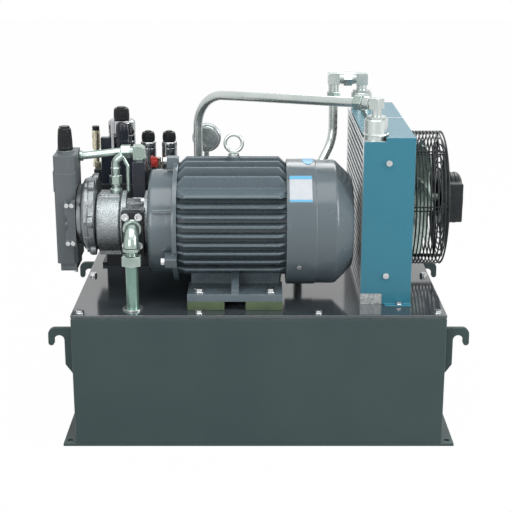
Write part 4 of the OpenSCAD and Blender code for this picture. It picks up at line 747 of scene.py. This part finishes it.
def makeKnobs():
    cartridge = (14.8, 22.8, 6, 18, 16)
    for name, node, x, z, (r, h, stem, deep, ribs) in (
            ("reliefKnob", "relief_knob", reliefX, 600.2, (17.3, 27.8, 10, 28, 18)),
            ("leftCartridgeKnob", "cartridge_knob_left", cartridgesX[0], 552.2, cartridge),
            ("rightCartridgeKnob", "cartridge_knob_right", cartridgesX[1], 552.2, cartridge)):
        shape = Shape()
        ribbedCap(shape, (x, valveRow, z), [
            (r - 1.5, 0), (r - 0.4, 0.8), (r - 0.4, 3.4), (r, 3.6), (r, h * 0.45), (r - 0.6, h * 0.62),
            (r - 0.6, h - 6.4), (r - 1.6, h - 6)], ribs, 1.1, 3.5, h - 6.2)
        shape.turn((x, valveRow, z - deep), up, [(stem - 0.2, 0), (stem - 0.2, deep + 0.4)], 24)
        shape.finish = 1
        shape.turn((x, valveRow, z + h - 6), up, [(r - 1.8, 0), (r - 1.8, 2.6), (r - 2.6, 3.2), (r - 6.2, 3.2),
                                                  (r - 6.4, 2.2), (0, 2.2)], 40)
        shape.finish = 0
        shape.turn((x, valveRow, z + h - 4), up, [(r - 7.6, 0), (r - 7.6, 3.4), (r - 8.2, 4), (0, 4)], 32)
        shape.done(["blackPlastic", "boltSteel"], node, name)
    x, y = -389, -105
    shape = Shape()
    ribbedCap(shape, (x, y, 579.2), [(15.2, 0), (15.6, 1), (15.6, 5), (15.2, 6), (15, 16), (14.4, 27), (13.6, 38),
                                     (13.2, 39)], 16, 1.0, 5.5, 37)
    shape.turn((x, y, 537), up, [(7.8, 0), (7.8, 42.8)], 24)
    shape.finish = 1
    shape.turn((x, y, 618.2), up, [(12.4, 0), (13.1, 0.6), (13.1, 3.4), (12.4, 4.2), (10, 4.2), (9.6, 5.4)], 48)
    shape.hexagon((x, y, 623.4), up, 18.6, 3.6)
    shape.done(["blackPlastic", "boltSteel"], "regulator_cap")


# Tubes with true bends
tube = Sizes(radius=9.95, bend=76, steps=20, sides=32, armEnd=20)


def makeTubes():
    arm = frontPort + (inletTop - frontPort).normalized() * tube.armEnd
    for node, path in (("inlet_tube", [(*inletTop.xy, 492), inletTop, arm]),
                       ("return_tube", [(167, 180, 662), (167, 180, 545), (88, 90, 410), (88, 90, 74)])):
        shape = Shape()
        shape.sweep(rounded(path, tube.bend, tube.steps), tube.radius, tube.sides)
        shape.done("zincPlate", node, weighted=False)
    print("tubes ready")


# Cooler core: headers, rows of tube bars and the corrugated fins between them
core = Sizes(left=204, width=46, front=-192, back=236, header=20, low=280, high=612, pitch=14, bar=5, finPitch=5.2,
             finSheet=0.35, rows=22, overlap=1)


# Block and bars of the core, drawn hollow between the bars so the fins are seen
def makeCore():
    x0, x1 = core.left, core.left + core.width
    y0, y1, z0, z1 = core.front, core.back, core.low, core.high
    front, rear = y0 + core.header, y1 - core.header
    low, high = front - core.overlap, rear + core.overlap
    shape = Shape()
    shape.block((x0, y0, z0), (x1, front, z1))
    shape.block((x0, rear, z0), (x1, y1, z1))
    shape.finish = 1
    for i in range(core.rows + 1):
        z = z0 + 10 + i * core.pitch
        shape.block((x0, low, z), (x1 - 0.5, high, z + core.bar))
    shape.finish = 0
    shape.block((x0, low, z1 - 6), (x1, high, z1))
    shape.block((x0 + 1, low, z0), (x1 - 1, high, z0 + 9))
    shape.soften(0.5, 1)
    shape.done(["roughAluminium", "barAluminium"], "cooler_core")


# Corrugated fins between the bars, with a dark finish that is painted shade of the gaps
def makeCoreFins():
    length = core.back - core.front - 2 * core.header
    values = {"Fins": int(length / core.finPitch), "Fin Pitch": core.finPitch, "Rise": core.pitch - core.bar - 0.6,
              "Rows": core.rows, "Row Pitch": float(core.pitch), "Depth": core.width - 12.0, "Sheet": core.finSheet}
    tree, given = newTree("coreFins", values)
    line = geometry(tree, "MeshLine", {"Count": given["Fins"], "Offset": vector(tree, y=given["Fin Pitch"])})
    odd = calc(tree, "MODULO", geometry(tree, "InputIndex"), 2.0)
    lift = vector(tree, z=calc(tree, "MULTIPLY", odd, given["Rise"]))
    path = geometry(tree, "MeshToCurve", {0: geometry(tree, "SetPosition", {"Geometry": line, "Offset": lift})})
    strip = geometry(tree, "CurvePrimitiveQuadrilateral", {0: given["Sheet"], 1: given["Depth"]})
    ribbon = geometry(tree, "CurveToMesh", {"Curve": path, "Profile Curve": strip, "Fill Caps": True})
    levels = geometry(tree, "MeshLine", {"Count": given["Rows"], "Offset": vector(tree, z=given["Row Pitch"])})
    endTree(tree, geometry(tree, "InstanceOnPoints", {"Points": levels, "Instance": ribbon}), paint["finAluminium"])
    mesh = runTree("coreFins", tree, values)
    low, high = [Vector([pick(v.co[k] for v in mesh.vertices) for k in range(3)]) for pick in (min, max)]
    goal = Vector((core.left + core.width / 2, (core.front + core.back) / 2,
                   core.low + 15.3 + (high.z - low.z) / 2))
    mesh.transform(Matrix.Scale(mm, 4) @ Matrix.Translation(goal - (low + high) / 2))
    addPiece(mesh, "finAluminium", name="coreFins", slot="aluminium", weighted=False)


# Bead of weld metal around a round boss
def weldBead(shape, centre, radius, bead, seed):
    steps, sides = 72, 8
    rings = []
    for k in range(sides):
        b = tau * k / sides
        ring = []
        for i in range(steps):
            a = tau * i / steps
            swell = bead * (1 + 0.22 * sin(11 * a + seed) + 0.14 * sin(23 * a + 2 * seed))
            r = radius + swell * cos(b)
            ring.append((centre[0] + r * cos(a), centre[1] + r * sin(a), centre[2] + swell * sin(b)))
        rings.append(ring)
    shape.skin(rings, closed=True)


# Forged elbow: square shoulders rounded off at the outside of the bend, with a round arm
def forged(shape, corner, along, arm, stem, half, collar):
    along = Vector(along).normalized()
    side = Vector(up).cross(along).normalized()
    outline = [(half, -half), (half, half)] + quarter(5 - half, half - 5, 5, 6, pi / 2) + [(-half, -half)]
    turn = frameOf(along, along.cross(side), -side)
    shape.slab(outline, Matrix.Translation(corner + side * half) @ turn, 2 * half)
    shape.turn(corner + along * (half - 1), along, [
        (half - 1.6, 0), (half - 1.6, 3), (collar - 0.2, 4.5), (collar - 0.2, arm - half - 1),
        (collar - 1.2, arm - half + 1)], 40)
    shape.turn(corner - Vector((0, 0, half - 1)), down, [(half - 1.4, 0), (half - 1.4, stem - half + 1)], 40)


def makeFittings():
    x, y, z = rearPort
    shape = Shape()
    shape.finish = 1
    for port in (frontPort, rearPort):
        shape.turn((*port.xy, 612), up, [(22.9, 0), (22.9, 38.5), (21.5, 40), (16, 40), (16, 39)], 64)
        weldBead(shape, (*port.xy, 622.5), 23.3, 2.3, port.y)
    shape.finish = 0
    for port in (frontPort, rearPort):
        shape.hexagon((*port.xy, 652), up, 33.6, 5.8)
    forged(shape, frontPort, inletTop - frontPort, 29, 30, 10.9, 12.9)
    forged(shape, rearPort, (-1, 0, 0), 31, 30, 12.9, 12.9)
    forged(shape, dropTop, right, 31, 29, 12.9, 12.9)
    shape.hexagon((x - 40, y, z), right, 29.8, 18)
    shape.turnEach([(x - 42.5, y, z), (x - 22, y, z)], right, [(11.4, 0), (12.6, 0.6), (12.6, 2), (11.4, 2.5)], 40)
    shape.soften(0.7, 2, 50)
    shape.done(["zincPlate", "roughAluminium"], "cooler_fittings")


# Pilot line: hose-end collar, tube, hexagon union and rounded elbow down into the pressure block
def makePilot():
    x, y, z, top, half = -243, -73, 560, 569, 12.9
    shape = Shape()
    shape.turn((-366, y, z), right, [(9, 0), (10.8, 1), (10.8, 7), (9.4, 8)], 40)
    shape.sweep([(-359, y, z), (x - 36, y, top)], 7.9, 28)
    shape.hexagon((x - 37, y, top), right, 25.8, 18.6)
    shape.turn((x - 18.6, y, top), right, [(9.8, 0), (9.8, 7)], 36)
    shape.turn((x - 39, y, top), right, [(8.4, 0), (11.6, 0.8), (11.6, 2.2)], 36)
    outline = [(-half, half), (-half, -half), (half, -half)] + quarter(half - 13, half - 13, 13, 10)
    shape.slab(outline, facingFront((x, y + half, top)), 2 * half)
    shape.hexagon((x, y, 552), up, 23.8, 4.2)
    shape.soften(0.9, 2, 50)
    shape.done("zincPale", "pilot_pipe")


# Drain fitting on the pump, its bent end and the thin line down beside the adapter
def makeDrain():
    x, y, base, lean, lineX = -289, -105, 492, radians(50), -264
    shape = Shape()
    shape.turn((x, y, base - 15), up, [(4.8, 0), (4.8, 15), (12.4, 15), (12.4, 21), (10.6, 22.6), (9.2, 23.4),
                                       (9.2, 32)], 40)
    shape.hexagon((x, y, base + 18), up, 22.8, 16.8)
    shape.turn((x, y, base + 34.5), up, [(8.9, 0), (8.9, 12), (9.8, 13), (9.8, 16), (8.6, 17)], 40)
    bend = [(x, y, base + 48), (x, y, base + 57)]
    for k in range(1, 9):
        a = lean * k / 8
        bend.append((x + 14 * (1 - cos(a)), y, base + 57 + 14 * sin(a)))
    tip = Vector((bend[-1][0] + 12 * sin(lean), y, bend[-1][2] + 12 * cos(lean)))
    shape.sweep(bend + [tip], 8.2, 28)
    shape.soften(0.5, 2, 50)
    shape.sweep(rounded([tip - Vector((5, 0, 5)), tip + Vector((-0.5, 0, 0.5)), (lineX, y, 545), (lineX, y, 494.2)],
                        6, 8), 3.9, 20)
    shape.done("zincPale", "case_drain_line")


# Suction elbow: clamp ring, round bend, collar and the thread above the union nut
def makeSuction():
    x, port, z, bend = -250, -190, 437, 30
    shape = Shape()
    shape.turn((x, port, z), towards, [(18.9, 0), (18.9, 2.6), (17.6, 4), (15.4, 4.2)], 56)
    path = [(x, port - 3, z)] + [(x, port - across, z - bend + rise) for rise, across in quarter(0, 0, bend, 12)]
    shape.sweep(path, 14.9, 48)
    thread = [(11.9 - 1.0 * (k % 2), 0.6 + 0.9 * k) for k in range(8)]
    shape.turn((x, port - bend, 390.2), up, [(11.4, 0)] + thread + [
        (11.4, 8), (11.4, 9), (17.9, 10.5), (17.9, 15.6), (15, 16.8)], 56)
    shape.done("zincPale", "suction_elbow")


# Turn around the nearest axis, kept as a texture coordinate for the painted reflection stripes of the plated bodies
def aroundUv(shape, *axes):
    layer = shape.body.loops.layers.uv.new("around")
    for face in shape.body.faces:
        middle = face.calc_center_median()
        axis = min(axes, key=lambda x: abs(x - middle.x))
        centre = atan2(middle.y - valveRow, middle.x - axis)
        for loop in face.loops:
            place = loop.vert.co
            a = atan2(place.y - valveRow, place.x - axis)
            loop[layer].uv = (centre + remainder(a - centre, tau), place.z * mm)


# Relief valve body and cartridge bodies, plated, with grooves, clips and red caps
def makeValves():
    shape = Shape()
    shape.turn((reliefX, valveRow, 466), up, [(11.8, 0), (11.8, 28)], 40)
    shape.hexagon((reliefX, valveRow, 494), up, 51.6, 29.6)
    shape.turn((reliefX, valveRow, 523), up, [
        (25, 0), (26.6, 1), (26.6, 6.4), (28.6, 7), (29.8, 8.4), (29.8, 44), (29.0, 45), (29.0, 47.4), (29.8, 48.4),
        (29.8, 72), (28.6, 74), (26, 75.4), (25.4, 76.8), (10.2, 76.8), (10.2, 47), (0, 47)], 72)
    aroundUv(shape, reliefX)
    shape.done("chromePlate", "relief_valve")
    shape = Shape()
    for x in cartridgesX:
        shape.turn((x, valveRow, 466), up, [(8.8, 0), (8.8, 28)], 32)
        shape.hexagon((x, valveRow, 494), up, 29.6, 9.8)
        shape.turn((x, valveRow, 503.6), up, [
            (15.4, 0), (17.2, 1.4), (17.2, 33), (16.6, 33.8), (16.6, 35), (17.2, 36), (17.2, 45.4), (15.8, 47.4),
            (14.2, 48.2), (6.2, 48.2), (6.2, 31), (0, 31)], 56)
    aroundUv(shape, *cartridgesX)
    shape.done("chromePlate", "cartridge_valves")
    for name, x, width in (("leftLock", -229, 15), ("rightLock", -188, 12)):
        shape = Shape()
        shape.block((x - width / 2, 104, 498), (x + width / 2, 112, 520))
        shape.rod((x, 104.5, 509), towards, 5.2, 4.5, 24)
        shape.soften(1.4, 2)
        shape.done("signalRed", name=name, slot="bright_steel")
    x, y = -219.5, 124
    shape = Shape()
    shape.rod((x, y, 494), up, 4.4, 17, 24)
    shape.hexagon((x, y, 500), up, 11.4, 6)
    shape.turn((x, y, 511), up, [(3, 0), (4.6, 1.2), (4.6, 4), (2.4, 6), (0, 6.4)], 24)
    shape.done("brassPlain", name="bleedNipple", slot="brass")


# Pressure gauge: drawn case, polished bezel, dial with ticks and its stem
def makeGauge():
    x, z, stemY = -115.5, 552.5, 151
    shape = Shape()
    shape.turn((x, 148, z), back, [(22, 0), (26, 1.2), (27.4, 3.6), (27.4, 12), (31.9, 13.6), (31.9, 25), (31, 25.9),
                                   (29.2, 25.9), (28.9, 18.2), (2.2, 18.2), (2.2, 10)], 72)
    shape.turn((x, stemY, z - 42), up, [(5.8, 0), (5.8, 14)], 24)
    shape.hexagon((x, stemY, 468), up, 18.8, 17.8)
    shape.turn((x, stemY, 485.4), up, [(8.4, 0), (8.4, 6), (5.8, 8), (5.8, 26)], 28)
    shape.finish = 1
    shape.turn((x, 158.6, z), back, [(27.6, 0), (29.4, -0.4), (31.7, 1), (31.95, 3), (31.95, 9), (27.6, 9)], 72)
    shape.block((x - 13, 147.2, z - 23), (x + 1, 149, z - 13))
    shape.turnEach([(x - 10, 147.4, z - 18), (x - 3, 147.4, z - 18)], towards,
                   [(2.6, 0), (2.6, 1.2), (1.8, 1.8)], 16)
    shape.soften(0.5, 2, 50)
    shape.finish = 2
    shape.turn((x, 166.3, z), back, [(28.8, 0), (28.8, 0.5), (2.3, 0.5), (2.3, 0), (28.8, 0)], 72)
    shape.finish = 3
    ticks, rimRadius = 28, 26.4
    for k in range(ticks):
        size = 2.2 if k % 3 else 4
        turn = Matrix.Rotation(radians(-45 + 270 * k / (ticks - 1)), 4, "Y")
        shape.cube(Matrix.Translation((x, 166.9, z)) @ turn @ Matrix.Translation((size / 2 - rimRadius, 0, 0))
                   @ Matrix.Diagonal((size, 0.3, 0.7, 1)))
    shape.done(["gaugeSteel", "boltSteel", "paperWhite", "blackPlastic"], "gauge_case")


# Fan motor: ribbed can with a flat junction box on its side
def makeFanMotor():
    shape = Shape()
    ribs = [(r, 9 * k + h) for k in range(3) for r, h in ((54.8, 0), (54.8, 4), (53.2, 5), (53.2, 8))]
    shape.turn((389.2, *guard.middle.yz), right, ribs + [
        (54.8, 27), (54.8, 31), (53.4, 35), (49, 39.6), (44.5, 42), (38, 42.8), (37, 41.6), (30, 41.6), (29, 42.8),
        (0, 42.8)], 96)
    shape.soften(0.5, 1, 30)
    box = Shape()
    box.block((392.3, -36.8, 409.3), (428.8, 2, 491.8))
    box.soften(3.2, 3)
    for face in list(box.body.faces):
        shape.body.faces.new([shape.body.verts.new(v.co) for v in face.verts])
    box.body.free()
    bmesh.ops.remove_doubles(shape.body, verts=shape.body.verts, dist=0.0005)
    shape.block((396, -36.9, 414), (425, -36.2, 487))
    shape.finish = 1
    screws = ((399.5, 418), (399.5, 483), (421.5, 418), (421.5, 483), (421.5, 450))
    shape.turnEach([(x, -36.4, z) for x, z in screws], towards, [(2.6, 0), (2.6, 0.35), (2.0, 0.4), (0, 0.4)], 20)
    shape.done(["guardBlack", "boltSteel"], "fan_motor")


# Folded top seam of the cooler's housing, drawn as a white strip: a painted highlight along the fold
def makeSeams():
    shape = Shape()
    shape.block((250, 25.5, 619.4), (304.4, 32, 620.6))
    shape.done("paperWhite", name="topSeam", slot="teal_paint")
    print("cooler ready")


# Regulator block: machined body with a wide chamfer, seams, cast boss, raised step and notched foot
def makeRegulator():
    shape = Shape()
    outline = [(-408, -60), (-408, -147), (-405, -150), (-374, -150), (-366.2, -142), (-366.2, -60)]
    for low, high, inset in ((353, 539.4, 0), (539.4, 540.6, 0.7), (540.6, 575, 0)):
        ring = [(x + (inset if x < -390 else -inset), y + (inset if y < -100 else -inset)) for x, y in outline]
        shape.slab(ring, Matrix.Translation((0, 0, low)), high - low)
    shape.soften(0.8, 2, 40)
    shape.block((-402, -146, 337), (-370, -68, 353.2))
    shape.block((-410.8, -140, 500), (-407.8, -70, 542))
    shape.block((-402, -146.6, 343), (-370, -145.8, 344))
    shape.turn((-389, -105, 574.8), up, [(18, 0), (18, 3), (16.8, 4.2), (8.2, 4.2)], 48)
    shape.finish = 1
    boss = [(-386, 395), (-382, 392.4), (-366.4, 392.4), (-366.4, 486.6), (-371, 486.6), (-378, 478), (-386.6, 484),
            (-386.6, 462), (-382, 452), (-382, 428), (-386, 420)]
    shape.slab(boss, facingFront((0, -149, 0)), 14.6)
    shape.finish = 2
    screws = ((-374, 478), (-383.5, 440), (-374.5, 402), (-383, 404))
    shape.turnEach([(x, -163.4, z) for x, z in screws], towards, [(3.6, 0), (3.6, 2.4), (2.8, 3.2), (0, 3.2)], 24)
    shape.done(["regulatorPaint", "castSilver", "boltSteel"], "regulator_block")


# Pump flange: cast disc with a stepped face, screw bosses and short ribs, and a blind bore for the shaft
def makeFlange():
    bosses = [pumpMiddle + spoke(radians(angle)) * 74 for angle in (60, 118, 178, 240)]
    shape = Shape()
    shape.turn((-366, *pumpMiddle.yz), right, [
        (0, 0), (57, 0), (60, 2), (62, 9), (68.5, 12), (71.5, 13.6), (73.4, 16), (74, 19), (74, 24.6), (72.8, 25.2),
        (72.8, 26.2), (74, 26.8), (74, 36.4), (72.4, 38), (11.7, 38), (11.7, 11), (0, 11)], 96)
    shape.turnEach([(-342, *boss.yz) for boss in bosses], right,
                   [(8.6, 0), (10.8, 1.2), (12.4, 4), (12.4, 12.6), (11.4, 13.8)], 32)
    for angle in (90, 149, 208, 270):
        out = spoke(radians(angle))
        turn = Matrix.Translation(pumpMiddle) @ frameOf(right, out, -out.cross(right))
        shape.slab([(-363, 57), (-346, 75.4), (-334, 75.4), (-334, 57)], turn @ Matrix.Translation((0, 0, -4)), 8)
    shape.soften(0.5, 2, 50)
    shape.finish = 1
    for boss in bosses:
        shape.hexagon((-346.8, *boss.yz), right, 11.5, 5)
    shape.done(["flangeSilver", "boltSteel"], "pump_flange")


# Solenoid valve: block, square coil and round coil with rings, nut and dome
def makeSolenoid():
    x, y = -295, 83
    shape = Shape()
    shape.block((-342, 80.2, 468), (-270, 97, 530))
    shape.block((-342, 80.2, 530), (-320, 97, 568))
    shape.block((-305, 80.2, 530), (-285, 97, 554))
    shape.soften(1.6, 2)
    shape.turn((x, y, 552.6), up, [
        (12, 0), (13.9, 0.8), (13.9, 9), (12.6, 9.8), (12.6, 11.4), (13.9, 12.2), (13.9, 32), (13.2, 35), (13.2, 40),
        (12.2, 44), (9, 48), (4, 49.6), (0, 50)], 48)
    shape.finish = 1
    shape.turnEach([(x, y, 534), (x, y, 543)], up, [(10.6, 0), (13.2, 0.8), (13.2, 4.6), (10.6, 5.4)], 40)
    shape.turn((-331, 80.6, 549), towards, [(5, 0), (5, 0.25), (4, 0.3), (0, 0.3)], 24)
    shape.done(["navyPaint", "boltSteel"], "solenoid_valve")


stickers = (("ratingPlate", 60, 105, 31, 58.6, 0.15, "paperWhite"),
            ("plateTopBand", 60, 105, 31.2, 35.2, 0.45, "labelBlue"),
            ("plateFootBand", 60, 105, 56.2, 58.4, 0.45, "labelBlue"),
            ("roundSticker", 87, 110, -13, 13, 0.15, "labelBlue", True))
makeGuard()
makeFan()
makeCowl()
for sticker in stickers:
    cowlSticker(*sticker)
for make in (makeKnobs, makeTubes, makeCore, makeCoreFins, makeFittings, makePilot, makeDrain, makeSuction, makeValves,
             makeGauge, makeFanMotor, makeSeams, makeRegulator, makeFlange, makeSolenoid):
    make()

# Edge widths in millimetres of the nodes that keep their drawn shape
edgeWidth = {
    "base_plate": 0.8, "tank_body": 2.5, "lid_gasket": 0, "tank_lid": 1.6, "lid_bolts": 0.5, "lifting_hooks": 1.2,
    "drain_plug": 0.6, "level_gauge": 0.6, "filler_neck": 0.6, "filler_cap": 0.8, "pipe_grommets": 0.6,
    "suction_strainer": 0, "suction_tube": 0, "suction_port_block": 1.6, "union_nuts": 0.7, "mounting_pads": 1.4,
    "foot_bolts": 0.5, "motor_frame": 1.0, "drive_end_bracket": 2.0, "rear_end_shield": 0.6, "stator_core": 0,
    "rotor_shaft": 0.4, "motor_bearings": 0.3, "motor_fan": 0.4, "motor_screws": 0.5, "eye_bolt": 0.5,
    "terminal_box": 1.8, "shaft_coupling": 0.4, "pump_adapter": 1.0, "pump_housing": 1.2, "pump_rotor": 0,
    "pump_screws": 0.5, "pressure_block": 1.5, "valve_manifold": 1.4, "needle_valve": 0.5, "needle_knob": 0.5,
    "gauge_needle": 0, "cooler_shroud": 1.0, "cooler_bolts": 0.5,
}
for node, width in edgeWidth.items():
    dress(node, width, sideFinish="tankPaint" if node == "tank_lid" else None)
print("dressed nodes ready")
